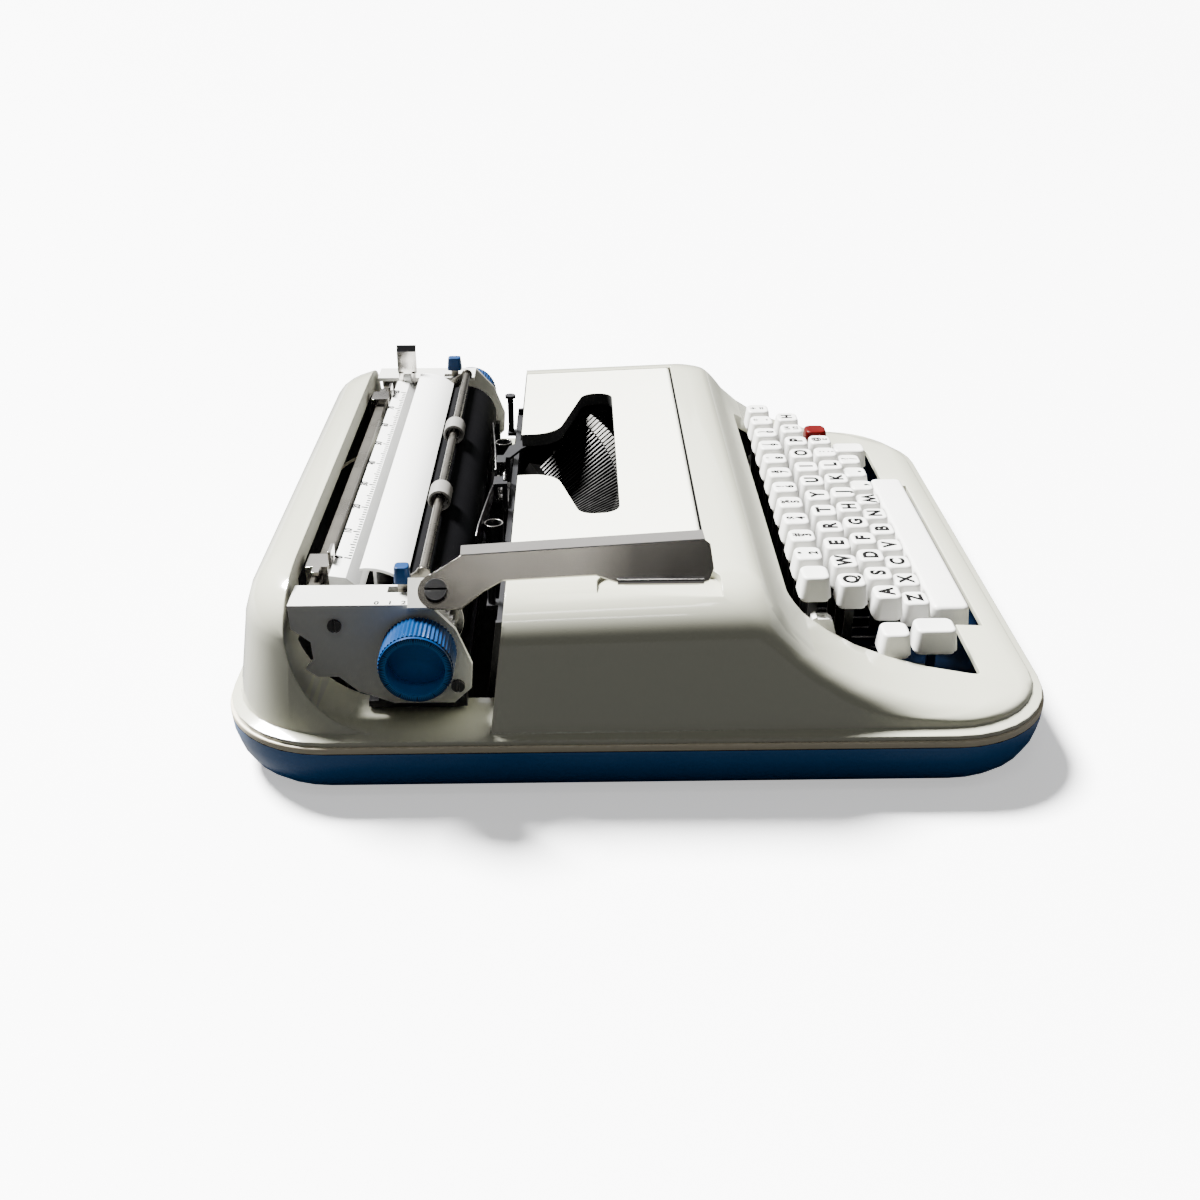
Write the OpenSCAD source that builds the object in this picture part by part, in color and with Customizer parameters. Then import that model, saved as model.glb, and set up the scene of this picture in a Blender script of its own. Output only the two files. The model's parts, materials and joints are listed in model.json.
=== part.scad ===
// Portable manual typewriter standing in its tub base, in millimetres.
// X runs to the typist's right, Y to the rear and Z up. The origin is on the desk,
// under the middle of the base.

/* [Base] */
// Width over the rim, left to right
base_w = 326; // [316:1:340]
// Depth over the rim, front to rear
base_d = 336; // [330:1:346]
// Plan corner radius of the rim
corner_r = 45; // [38:1:50]
// Height of the tub's top edge above the desk
tub_top = 23; // [22:0.5:25]
// Wall of the tub
tub_wall = 3; // [2:0.5:3.5]
// How far the tub's side draws in at its foot
tub_draw = 12; // [8:1:15]
// Height of the rubber feet below the tub
foot_h = 2; // [1:0.5:3]
// Diameter of a rubber foot
foot_d = 18; // [12:1:24]
// Height of the rim bead between tub and shell
bead_h = 3; // [2:0.5:4]
// Width of the rim bead
bead_w = 7; // [5:0.5:9]

/* [Shell] */
// Height of the shell's top at its front brow
shell_top = 83.5; // [82:0.5:87]
// How far the top falls from the brow to the carriage well
top_fall = 4; // [2:0.5:5]
// Wall of the shell
shell_wall = 2.6; // [2:0.2:3]
// Radius of the rounded shoulders
shoulder_r = 22.5; // [18:0.5:24]
// Ledge of the rim outside the shell's side
rim_ledge = 3.5; // [2:0.5:5]
// How far the side leans in from its foot to the shoulder
side_lean = 7; // [4:0.5:9]
// Depth of the carriage well, front to rear
well_d = 85; // [83:0.5:88]
// Thickness of the hump behind the carriage well
hump_d = 31; // [29:0.5:34]
// Radius of the sweep from the hump down to the side shelf
sweep_r = 39; // [32:1:42]
// Width of the shelf under each carriage end
shelf_w = 32; // [28:1:34]
// How far the well's front wall leans
well_lean = 7; // [4:0.5:9]
// Depth of the turned-down lip round the keys
lip_h = 7; // [5:0.5:8]
// Thickness of that lip
lip_t = 2; // [1.6:0.1:2.4]

/* [Ribbon cover] */
// Depth of the cover, hinge edge to rear edge
cover_d = 79; // [76:0.5:82]
// Thickness of the cover
cover_t = 2.4; // [2:0.2:3]
// Radius of the hinge barrel at the cover's front edge
barrel_r = 2.2; // [2:0.1:2.6]
// Radius of the two hinge pins
hinge_pin_r = 1.1; // [0.8:0.1:1.3]
// Reach of the type window to the left of the middle
window_left = 66; // [58:1:70]
// Reach of the type window to the right of the middle
window_right = 89; // [74:1:90]
// Depth of the type window's cross slot at its ends
window_d = 17; // [14:0.5:20]
// How much deeper the slot gets towards its throat
window_flare = 11.5; // [6:0.5:14]
// Half width of the window's throat to the rear
throat_half = 26; // [20:0.5:28]
// Radius of the hollow corners beside the throat
throat_r = 14; // [10:1:16]
// Depth of the wall round the window
window_wall_h = 4; // [3:0.5:5]

/* [Keyboard] */
// Distance between neighbouring keys
key_pitch = 18; // [17.5:0.1:18.5]
// Width of a key cap at its foot
cap_w = 14.4; // [13:0.2:14.8]
// Depth of a key cap at its foot
cap_d = 13.4; // [12.4:0.2:13.6]
// Height of a key cap
cap_h = 11; // [9:0.5:12]
// How far each side of a key cap leans in
cap_taper = 1.1; // [0.6:0.1:1.6]
// Travel of a key
key_travel = 10; // [8:0.5:10.5]
// Thickness of a key lever
lever_t = 1.4; // [1:0.1:1.6]
// Height of a key lever
lever_h = 5; // [4:0.5:6]
// Radius of the rod that carries the key levers
fulcrum_r = 2.5; // [2:0.1:3]
// Length of the space bar
space_l = 148; // [130:1:152]
// Depth of a shift key, front to rear
shift_d = 18.8; // [16:0.2:19]
// Height of the recessed skirt at the foot of a key cap
skirt_h = 1.6; // [1:0.1:2.4]
// How far the skirt stands in from the cap's side
skirt_in = 1; // [0.6:0.1:1.6]

/* [Carriage] */
// Diameter of the platen
platen_d = 33; // [31:0.5:34]
// Radius of the platen shaft
shaft_r = 4; // [3:0.25:5]
// Diameter of a platen knob
knob_d = 29; // [26:0.5:31]
// Length of a platen knob
knob_l = 15.5; // [12:0.5:17]
// Thickness of the carriage end plates
plate_t = 2; // [1.5:0.1:2.5]
// Width of the top flange of an end plate
flange_w = 17; // [14:0.5:18]
// Travel of the carriage each way
carriage_travel = 105; // [90:1:105]
// Radius of the paper bail rod
bail_r = 2; // [1.5:0.1:2.5]
// Radius of a paper bail roller
bail_roller_r = 5; // [4:0.25:5.5]
// Radius of a feed roller
feed_r = 4.5; // [3.5:0.25:5]
// Thickness of the return lever's plate
lever_plate_t = 1.6; // [1.2:0.1:2]
// Radius of the return lever's pivot screw
pivot_r = 2.5; // [2:0.1:3]
// Thickness of the curved paper table
table_t = 1.2; // [1:0.1:1.6]

/* [Clearances] */
// Radial gap of a shaft in its bore
running = 0.06; // [0.03:0.01:0.1]
// Gap between a moving piece and its guide
slide_gap = 0.3; // [0.2:0.05:0.5]
// Gap round the ribbon cover
seam = 0.6; // [0.5:0.1:0.8]

/* [Hidden] */
$fn = 48;

// Levels and lines that several pieces share
front = -base_d / 2;
rear = base_d / 2;
half_w = base_w / 2;
floor_z = foot_h + tub_wall;
rim_z = tub_top + bead_h;
shelf_z = rim_z + shell_wall;
well_rear = rear - hump_d;
well_front = well_rear - well_d;
brow_y = front + 120;
cover_front = well_front - cover_d;
top_tilt = atan(top_fall / (well_front - brow_y));
corner_steps = 8;

// Heights of the top face, and of points on it
function top_at(y) = shell_top - top_fall * (y - brow_y) / (well_front - brow_y);

// How far a point of the shell sinks with the tilt of the top
function sink(y, z) =
    z <= rim_z ? 0 :
    (z - rim_z) / (shell_top - rim_z) * -top_fall
    * (y <= well_front
       ? max(0, (y - brow_y) / (well_front - brow_y))
       : max(0, (well_rear - y) / (well_rear - well_front)));

// Right half of a plan outline: front corner across and along, and rear corner radius
function half_outline(x, y0, y1, r0, r1, along) = concat(
    [for (i = [0 : corner_steps]) let (a = 90 * i / corner_steps - 90)
        [x - r0 + r0 * cos(a), y0 + along + along * sin(a)]],
    [for (y = [brow_y + 28, well_front, well_front + 44]) [x, y]],
    [for (i = [0 : corner_steps]) let (a = 90 * i / corner_steps)
        [x - r1 + r1 * cos(a), y1 - r1 + r1 * sin(a)]]);

// Full loop of one level, mirrored from its right half
function level_loop(row) =
    let (along = len(row) > 6 ? row[6] : row[4],
         h = half_outline(row[1], row[2], row[3], row[4], row[5], along), m = len(h))
    concat([for (p = h) [p.x, p.y, row[0] + sink(p.y, row[0])]],
           [for (i = [m - 1 : -1 : 0]) [-h[i].x, h[i].y, row[0] + sink(h[i].y, row[0])]]);

// Solid through a stack of levels [z, half width, front, rear, front radius, rear radius],
// with the front corner's length along the side after them where it isn't round
module level_loft(rows) {
    n = len(level_loop(rows[0]));
    m = n / 2;
    top = (len(rows) - 1) * n;
    polyhedron(
        points = [for (row = rows) each level_loop(row)],
        faces = concat(
            [for (k = [0 : len(rows) - 2], i = [0 : n - 1]) let (j = (i + 1) % n)
                each [[k * n + i, (k + 1) * n + i, (k + 1) * n + j],
                      [k * n + i, (k + 1) * n + j, k * n + j]]],
            [for (i = [0 : m - 2]) [i, i + 1, n - 2 - i, n - 1 - i]],
            [for (i = [0 : m - 2]) [top + n - 1 - i, top + n - 2 - i, top + i + 1, top + i]]),
        convexity = 10);
}

// Profile in Y and Z, extruded from one X to another
module along_x(x0, x1) {
    translate([x0, 0, 0]) rotate([90, 0, 90]) linear_extrude(x1 - x0) children();
}

module rod_x(r, x0, x1, y, z) {
    translate([x0, y, z]) rotate([0, 90, 0]) cylinder(r = r, h = x1 - x0);
}

module rounded_rect(w, d, r) {
    square([w - 2 * r, d], center = true);
    square([w, d - 2 * r], center = true);
    for (x = [-1, 1], y = [-1, 1])
        translate([x * (w / 2 - r), y * (d / 2 - r)]) circle(r);
}

module box(x0, x1, y0, y1, z0, z1) {
    translate([x0, y0, z0]) cube([x1 - x0, y1 - y0, z1 - z0]);
}

// Slotted screw head on its shank, pointing up Z
module slotted_screw(r, head_h, shank_r, shank_l) {
    difference() {
        union() {
            cylinder(r = r, h = head_h);
            translate([0, 0, -shank_l]) cylinder(r = shank_r, h = shank_l + 0.1);
        }
        translate([-r, -r * 0.13, head_h * 0.45]) cube([2 * r, r * 0.26, head_h]);
    }
}

// Tub, feet and rim bead
foot_x = half_w - 42;
foot_y = rear - 42;
tab_col = 6.14;
key_reach = tab_col * key_pitch + cap_w / 2;
frame_gap = 5.28;
plate_frame_t = 2;
frame_half = key_reach + frame_gap + plate_frame_t;
well_half = max(half_w - shelf_w, frame_half + 1);
bar_t = 2.5;
bar_rows = [front + 78, well_front - 22, well_rear - 32];
bar_half_d = 7;
screw_x = frame_half - 10;
frame_screw_r = 1.5;

function tub_level(t, gap) =
    let (inset = tub_draw * (1 - sqrt(1 - (1 - t) * (1 - t))) + gap)
    [foot_h + (tub_top - foot_h) * t, half_w - inset, front + inset, rear - inset,
     corner_r - inset, corner_r - inset];

module base_tub() color([0.07, 0.19, 0.40]) difference() {
    level_loft([for (t = [0, 0.06, 0.2, 0.45, 0.75, 1]) tub_level(t, 0)]);
    level_loft(concat(
        [for (t = [0, 0.06, 0.2, 0.45, 0.75]) tub_level(t, tub_wall) + [tub_wall, 0, 0, 0, 0, 0]],
        [tub_level(1, tub_wall) + [1, 0, 0, 0, 0, 0]]));
    for (x = [-1, 1], y = bar_rows)
        translate([x * screw_x, y, foot_h + 0.8]) cylinder(r = frame_screw_r + running, h = tub_wall);
}

module rubber_feet() color([0.1, 0.1, 0.1])
    for (x = [-1, 1], y = [-1, 1]) translate([x * foot_x, y * foot_y, 0]) {
        cylinder(r1 = foot_d / 2 - 0.8, r2 = foot_d / 2, h = foot_h * 0.5);
        translate([0, 0, foot_h * 0.5]) cylinder(r = foot_d / 2, h = foot_h * 0.5);
    }

module rim_bead() color([0.80, 0.76, 0.62]) translate([0, 0, tub_top]) linear_extrude(bead_h)
    difference() {
        rounded_rect(base_w, base_d, corner_r);
        rounded_rect(base_w - 2 * bead_w, base_d - 2 * bead_w, corner_r - bead_w);
    }

// Shell: side, rear and front lines as functions of height
shoulder_z = shell_top - shoulder_r;
side_foot = rim_ledge + 1;
shell_heights = [29.2, 30.6, 31.6, 32.3, 33.2, 35.5, 39, 44, 50, 57, 61, 66, 70, 74, 77.5, 80, 82, 83.1, 83.5];
front_line = [[29.2, 4.5], [30.6, 5.4], [31.6, 8], [32.3, 13], [33.2, 32], [35.5, 50], [39, 65], [44, 79],
              [50, 90.5], [57, 100.5], [66, 110], [75, 116.5], [80, 120.5], [82.5, 125], [83.5, 132]];
rear_line = [[29.2, 4.5], [48, 7.5], [66, 10.5], [74, 13], [79, 16.5], [82, 21], [83.5, 27]];
// Front corners in plan, across and along: a tight edge where the front frame is shallow
front_across = [[29.2, 42], [30.6, 41], [31.6, 38], [32.3, 30], [33.2, 12], [35.5, 9], [39, 8],
                [50, 9], [57, 10.5], [66, 12.5], [83.5, 14]];
front_along = [[29.2, 42], [30.6, 41], [31.6, 39], [32.3, 36], [33.2, 34], [35.5, 31], [39, 24],
               [44, 17], [50, 14], [57, 13], [83.5, 14]];
rear_corner = [[29.2, 42], [83.5, 33]];
drawn_top = 83.5;
drawn_rim = 26;

// A drawn height carried to the shell's own height
function shell_level(h) = rim_z + (h - drawn_rim) * (shell_top - rim_z) / (drawn_top - drawn_rim);

// Half width at a height: leaning side, then a round shoulder
function side_inset(z) =
    let (shoulder_foot = side_foot + side_lean)
    z < shoulder_z
    ? side_foot + side_lean * (z - rim_z) / (shoulder_z - rim_z)
    : shoulder_foot + shoulder_r - sqrt(max(0, shoulder_r * shoulder_r - pow(z - shoulder_z, 2)));

function shell_row(h, gap) =
    let (z = shell_level(h))
    [z - gap, half_w - side_inset(z) - gap, front + lookup(h, front_line) + gap,
     rear - lookup(h, rear_line) - gap, lookup(h, front_across) - gap, lookup(h, rear_corner) - gap,
     lookup(h, front_along) - gap];

function rim_row(z, inset) =
    [z, half_w - inset, front + inset, rear - inset, corner_r - inset, corner_r - inset];

module shell_outer() {
    level_loft(concat([rim_row(rim_z, 1), rim_row(rim_z + 2, 1)],
                      [for (h = shell_heights) shell_row(h, 0)]));
}

module shell_inner() {
    low = shell_row(shell_heights[0], shell_wall);
    level_loft(concat([[rim_z - 1, low[1], low[2], low[3], low[4], low[5], low[6]]],
                      [for (h = shell_heights) shell_row(h, shell_wall)]));
}

// Carriage well seen from the side, grown by a wall
module well_profile(gap) {
    difference() {
        union() {
            translate([well_front - gap, shelf_z - gap])
                square([well_d - sweep_r + gap, 2 * shell_top]);
            translate([well_rear - sweep_r, shelf_z + sweep_r]) circle(sweep_r + gap, $fn = 96);
            translate([well_rear - sweep_r - 1, shelf_z + sweep_r])
                square([sweep_r + 1 + gap, 2 * shell_top]);
        }
        polygon([[well_front - gap - 1, shell_top], [well_front - gap, shell_top],
                 [well_front + well_lean - gap, shelf_z - gap - 1],
                 [well_front - gap - 1, shelf_z - gap - 1]]);
    }
}

// Wall that lines the well: the hump's lip, and the shelf and sweep at each side
hump_open = well_half - 19;
hump_lip = 9.5;

module well_liner() {
    difference() {
        along_x(-half_w, half_w) difference() {
            well_profile(shell_wall);
            well_profile(0);
        }
        box(-well_half, well_half, front, well_rear, 0, 2 * shell_top);
        box(-half_w, half_w, front, rear, 0, rim_z);
    }
}

// Key opening in plan: flared sides, round rear corners and a notch for the space bar
opening_rear = front + 106.5;
opening_front = front + 27;
notch_front = front + 15;
opening_half_rear = key_reach - 2.22;
opening_half_front = key_reach + 6.28;
lip_front = front + 60;
opening_corner = 12;
space_mid = -4;
space_gap = 4;

module key_opening() {
    hull() for (x = [-1, 1]) {
        translate([x * (opening_half_rear - opening_corner), opening_rear - opening_corner])
            circle(opening_corner, $fn = 32);
        translate([x * (opening_half_front - 2), opening_front + 2]) circle(2, $fn = 16);
    }
    translate([space_mid - space_l / 2 - space_gap, notch_front])
        square([space_l + 2 * space_gap, opening_front - notch_front + 5]);
}

// Lip turned down from the top face along the opening's sides and rear
module opening_lip() {
    difference() {
        intersection() {
            shell_outer();
            linear_extrude(2 * shell_top) difference() {
                offset(delta = lip_t) key_opening();
                key_opening();
            }
            box(-half_w, half_w, lip_front, brow_y + 10, rim_z, 2 * shell_top);
        }
        translate([0, 0, -lip_h]) shell_outer();
    }
}

// Ribbon cover frame: X across, Y down the slope from the hinge, Z out of the top face
cover_right = half_w - 37;
cover_left = -(half_w - 49);
hinge_z = top_at(cover_front + barrel_r) - barrel_r;
hinge_y = cover_front + barrel_r;
pin_l = 9;
ledge_w = 4;
ledge_t = 2;

module on_cover() {
    translate([0, hinge_y, hinge_z]) rotate([-top_tilt, 0, 0]) children();
}

// Hinge lugs and side ledges inside the shell that carry the cover
module cover_seats() {
    on_cover() for (side = [[cover_left - seam, -1], [cover_right + seam, 1]]) {
        x = side[0];
        s = side[1];
        lug = [x, x + s * 7];
        box(min(lug), max(lug), -barrel_r - 1.5, barrel_r + 2, -barrel_r - 1.4, barrel_r - 0.6);
        inner = x - s * ledge_w;
        outer = x + s * 3;
        ledge_top = barrel_r - cover_t - slide_gap;
        box(min(inner, outer), max(inner, outer), barrel_r + 4, cover_d - 12,
            ledge_top - ledge_t, ledge_top);
        box(min(x, outer), max(x, outer), barrel_r + 4, cover_d - 12,
            ledge_top - ledge_t, barrel_r - 0.6);
    }
}

// Shallow finger notch in the left shoulder below the lever's grip
notch_y0 = cover_front - 4;
notch_l = 48;
notch_floor = shell_top - 4.2;

module finger_notch(gap) {
    x0 = half_w - shoulder_r - side_foot - side_lean - 2;
    translate([-x0 - 12, notch_y0 + notch_l / 2, notch_floor - gap]) linear_extrude(20)
        rounded_rect(28 + 2 * gap, notch_l + 2 * gap, 6 + gap);
}

module body_shell() color([0.86, 0.86, 0.80]) difference() {
    union() {
        difference() {
            shell_outer();
            shell_inner();
        }
        intersection() {
            shell_outer();
            union() {
                well_liner();
                finger_notch(shell_wall);
            }
        }
        opening_lip();
        cover_seats();
    }
    along_x(-half_w - 1, half_w + 1) well_profile(0);
    translate([0, 0, rim_z + 1]) linear_extrude(shell_top) key_opening();
    finger_notch(0);
    box(-hump_open, hump_open, well_rear - 1, well_rear + shell_wall + 0.4, rim_z - 1,
        shell_top - hump_lip);
    on_cover() {
        box(cover_left - seam, cover_right + seam, -barrel_r - seam, cover_d + 20,
            barrel_r - shell_wall - 0.2, 20);
        rod_x(barrel_r + seam, cover_left - seam, cover_right + seam, 0, 0);
        rod_x(hinge_pin_r + 0.02, cover_left - 7, cover_right + 7, 0, 0);
    }
}

module cover_hinge_pins() color([0.7, 0.7, 0.68]) on_cover() {
    rod_x(hinge_pin_r, cover_left - seam - 6, cover_left + pin_l, 0, 0);
    rod_x(hinge_pin_r, cover_right - pin_l, cover_right + seam + 6, 0, 0);
}

// Type window in the cover's plane, grown by a wall
window_front = 30.8;
window_corner = 7.5;
type_x = 6.5;

module type_window(gap) {
    flare = window_front + window_d + window_flare;
    offset(r = gap) offset(r = window_corner) offset(delta = -window_corner)
        offset(r = -throat_r) offset(delta = throat_r) {
            polygon([[-window_left, window_front], [window_right, window_front],
                     [window_right, window_front + window_d - 2], [type_x + throat_half, flare],
                     [type_x - throat_half, flare], [-window_left, window_front + window_d]]);
            translate([type_x - throat_half, flare - 4]) square([2 * throat_half, cover_d]);
        }
}

module ribbon_cover() color([0.88, 0.88, 0.82]) on_cover() difference() {
    union() {
        rod_x(barrel_r, cover_left, cover_right, 0, 0);
        translate([0, 0, barrel_r - cover_t]) linear_extrude(cover_t)
            translate([cover_left, 0]) square([cover_right - cover_left, cover_d - barrel_r]);
        intersection() {
            translate([0, 0, barrel_r - cover_t - window_wall_h])
                linear_extrude(window_wall_h + 0.5) difference() {
                    type_window(1.8);
                    type_window(0);
                }
            box(cover_left, cover_right, 0, cover_d - barrel_r, -20, 20);
        }
    }
    translate([0, 0, -20]) linear_extrude(40) type_window(0);
    for (x = [cover_left - 1, cover_right - pin_l - 0.5])
        rod_x(hinge_pin_r + running, x, x + pin_l + 1.5, 0, 0);
}

// Frame inside the body
fulcrum_y = well_front - 22;
fulcrum_z = floor_z + 17;
spool_x = 102;
spool_y = well_front - 30;
spool_z = shell_top - 27.5;
spool_r = 18;
spool_h = 13;
spool_post_r = 3;
rear_plate_y = well_front + 3;
rear_plate_t = 2.5;
guide_pin_x = 100;
drum_x = 47 - frame_half;
drum_y = well_rear - 30;
drum_r = 22;
drum_h = 12.4;
drum_post_r = 3;
bell_x = frame_half - 47;
bell_post_r = 2;
bell_z = 7;

module main_frame() color([0.16, 0.16, 0.17]) difference() {
    union() {
        for (s = [-1, 1]) {
            along_x(s > 0 ? frame_half - plate_frame_t : -frame_half,
                    s > 0 ? frame_half : -frame_half + plate_frame_t)
                polygon([[front + 64, floor_z], [well_front + 10, floor_z],
                         [well_front + 10, 26], [rear_plate_y + rear_plate_t, 60],
                         [brow_y + 20, 66], [front + 106, 52], [front + 93, 42], [front + 64, 31]]);
            box(min(s * (spool_x - 20), s * frame_half), max(s * (spool_x - 20), s * frame_half),
                spool_y - 20, spool_y + 20, spool_z, spool_z + 2);
            translate([s * spool_x, spool_y, spool_z]) cylinder(r = spool_post_r, h = spool_h + 5);
            box(min(s * 112, s * frame_half), max(s * 112, s * frame_half), well_front - 22,
                well_rear - 32, floor_z, floor_z + bar_t);
            box(min(s * (guide_pin_x - 3), s * (guide_pin_x + 3)),
                max(s * (guide_pin_x - 3), s * (guide_pin_x + 3)),
                rear_plate_y, rear_plate_y + 7.5, 54, 56);
            translate([s * guide_pin_x, rear_plate_y + 5.5, 55]) {
                cylinder(r = 1.6, h = 20);
                translate([0, 0, 20]) cylinder(r = 2.8, h = 1.6);
            }
        }
        for (y = bar_rows)
            box(-frame_half, frame_half, y - bar_half_d, y + bar_half_d, floor_z, floor_z + bar_t);
        box(-frame_half, frame_half, rear_plate_y, rear_plate_y + rear_plate_t, 28, 57);
        translate([drum_x, drum_y, floor_z]) cylinder(r = drum_post_r, h = drum_h + 6);
        translate([bell_x, drum_y, floor_z]) cylinder(r = bell_post_r, h = bell_z + 11.6);
    }
    rod_x(fulcrum_r + running, -frame_half - 1, frame_half + 1, fulcrum_y, fulcrum_z);
    rod_x(side_lever_r + running, -frame_half - 1, 0, selector_y, selector_z);
    rod_x(side_lever_r + running, 0, frame_half + 1, touch_y, selector_z);
    for (x = [-1, 1], y = bar_rows)
        translate([x * screw_x, y, 0]) cylinder(r = frame_screw_r + running, h = 20);
}

module frame_screws() color([0.6, 0.6, 0.58])
    for (x = [-1, 1], y = bar_rows) translate([x * screw_x, y, floor_z + bar_t])
        slotted_screw(3.2, 1.8, frame_screw_r, bar_t + tub_wall - 1);

module fulcrum_rod() color([0.55, 0.55, 0.53])
    rod_x(fulcrum_r, -frame_half - 1.5, frame_half + 1.5, fulcrum_y, fulcrum_z);

module mainspring_drum() color([0.45, 0.44, 0.40])
    translate([drum_x, drum_y, floor_z + bar_t + slide_gap]) difference() {
        union() {
            cylinder(r = drum_r, h = drum_h * 0.3);
            cylinder(r = drum_r - 2, h = drum_h);
            translate([0, 0, drum_h - 2]) cylinder(r = drum_r, h = 2);
        }
        translate([0, 0, -1]) cylinder(r = drum_post_r + running, h = drum_h + 2);
        for (a = [0 : 60 : 300]) rotate(a) translate([drum_r * 0.6, 0, drum_h - 3])
            cylinder(r = 3, h = 4);
    }

module bell() color([0.75, 0.72, 0.62]) translate([bell_x, drum_y, floor_z + bell_z])
    rotate_extrude() difference() {
        intersection() {
            circle(15);
            translate([0, 0]) square([15, 15]);
        }
        translate([0, -2]) circle(13.8);
    }

module left_ribbon_spool() ribbon_spool(-1);
module right_ribbon_spool() ribbon_spool(1);

module ribbon_spool(s) color([0.2, 0.2, 0.22])
    translate([s * spool_x, spool_y, spool_z + 2 + slide_gap]) difference() {
        union() {
            cylinder(r = spool_r, h = 1);
            cylinder(r = spool_r - 4, h = spool_h);
            translate([0, 0, spool_h - 1]) cylinder(r = spool_r, h = 1);
        }
        translate([0, 0, -1]) cylinder(r = spool_post_r + running, h = spool_h + 2);
        for (a = [0 : 120 : 240]) rotate(a) translate([8, 0, spool_h - 3]) cylinder(r = 2.4, h = 4);
    }

// Typebars: pivots on a leaning arc, slugs resting on a wider one
bar_count = 41;
bar_spread = 55;
pivot_spread = 35;
segment_r = 75;
segment_tilt = -60;
pivot_y = well_front - 18;
pivot_z = shell_top - 39.5;
slug_reach = 89;
slug_y = pivot_y - 36;
slug_z = shell_top - 17.5;
bar_t_type = 1;
bar_h_type = 3.4;
bar_tail = 6;

function bar_angle(i) = -bar_spread + 2 * bar_spread * i / (bar_count - 1);
function bar_rise(a) = (1 - cos(a)) / (1 - cos(bar_spread));
function unit(v) = v / norm(v);
function bar_pivot(a) = let (b = a * pivot_spread / bar_spread, h = segment_r * (1 - cos(b)))
    [type_x + segment_r * sin(b), pivot_y - h * sin(segment_tilt), pivot_z + h * cos(segment_tilt)];
function bar_slug(a) =
    [type_x + slug_reach * sin(a), slug_y + 18 * bar_rise(a), slug_z + 4.5 * bar_rise(a)];

// One typebar's own frame: X along the bar from its pivot, Y across the fan
module on_bar(a) {
    p = bar_pivot(a);
    d = unit(bar_slug(a) - p);
    across = bar_pivot(a + 1) + bar_slug(a + 1) - bar_pivot(a - 1) - bar_slug(a - 1);
    t = unit(across - (across * d) * d);
    u = cross(d, t);
    multmatrix([[d.x, t.x, u.x, p.x], [d.y, t.y, u.y, p.y], [d.z, t.z, u.z, p.z], [0, 0, 0, 1]])
        children();
}

module bar_blank(a, gap, extra) {
    translate([-bar_tail - gap, -bar_t_type / 2 - gap, -bar_h_type / 2 - gap])
        cube([norm(bar_slug(a) - bar_pivot(a)) + bar_tail + gap + extra,
              bar_t_type + 2 * gap, bar_h_type + 2 * gap]);
}

module typebars() color([0.30, 0.30, 0.31])
    for (i = [0 : bar_count - 1]) let (a = bar_angle(i)) on_bar(a) {
        bar_blank(a, 0, 0);
        translate([norm(bar_slug(a) - bar_pivot(a)) - 7, -1, -2]) cube([7, 2, 4.4]);
    }

module type_segment() color([0.40, 0.40, 0.40]) {
    difference() {
        translate([type_x, pivot_y, pivot_z]) rotate([90 + segment_tilt, 0, 0])
            translate([0, segment_r, -5]) linear_extrude(9) intersection() {
                difference() {
                    circle(segment_r + 8, $fn = 120);
                    circle(segment_r - 5, $fn = 120);
                }
                polygon([[0, 0], [-220 * sin(38), -220 * cos(38)], [220 * sin(38), -220 * cos(38)]]);
            }
        for (i = [0 : bar_count - 1]) let (a = bar_angle(i)) on_bar(a) bar_blank(a, 0.25, 1);
    }
    box(-frame_half + plate_frame_t, frame_half - plate_frame_t, pivot_y - 2, pivot_y + 4,
        pivot_z - 13, pivot_z - 5.5);
}

module typebar_rest() color([0.13, 0.13, 0.13]) {
    rest_r = 160;
    box(-frame_half + plate_frame_t, frame_half - plate_frame_t, slug_y + 7, slug_y + 11,
        spool_z - 6, spool_z - slide_gap);
    for (x = [-38, 38]) {
        box(x - 3, x + 3, slug_y + 2, slug_y + 9, spool_z - 6, spool_z - slide_gap);
        box(x - 3, x + 3, slug_y + 2, slug_y + 5.5, spool_z - 6, slug_z - 5);
    }
    translate([type_x, slug_y + rest_r, slug_z - 6.4]) linear_extrude(3.2) intersection() {
        difference() {
            circle(rest_r + 3, $fn = 160);
            circle(rest_r - 1, $fn = 160);
        }
        polygon([[0, 0], [-260 * sin(27), -260 * cos(27)], [260 * sin(27), -260 * cos(27)]]);
    }
}

// Guide at the printing point and the carrier that lifts the ribbon
module type_guide() color([0.62, 0.62, 0.60]) translate([type_x, 0, 0]) {
    y = rear_plate_y + rear_plate_t;
    box(-12, 12, y, y + 2, 44, 60);
    for (s = [-1, 1]) {
        box(min(s * 2.6, s * 7), max(s * 2.6, s * 7), y, y + 6, 58, 60);
        box(min(s * 2.6, s * 7), max(s * 2.6, s * 7), y + 4.6, y + 6, 58, 66);
    }
}

module ribbon_vibrator() color([0.09, 0.09, 0.09]) translate([type_x, 0, 0]) {
    y = rear_plate_y + rear_plate_t;
    for (s = [-1, 1]) {
        box(min(s * 15, s * 18), max(s * 15, s * 18), y, y + 2.4, 40, 72);
        box(min(s * 9, s * 18), max(s * 9, s * 18), y + 2, y + 6.5, 70, 72);
        box(min(s * 9, s * 11), max(s * 9, s * 11), y + 5, y + 6.5, 61, 72);
    }
    translate([0, 0, 70.5]) linear_extrude(1.5)
        polygon([[15, y], [26, y - 5], [42, y - 17], [58, y - 27], [72, y - 31], [72, y - 26],
                 [60, y - 21], [45, y - 10], [30, y + 1], [15, y + 4]]);
}

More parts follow.
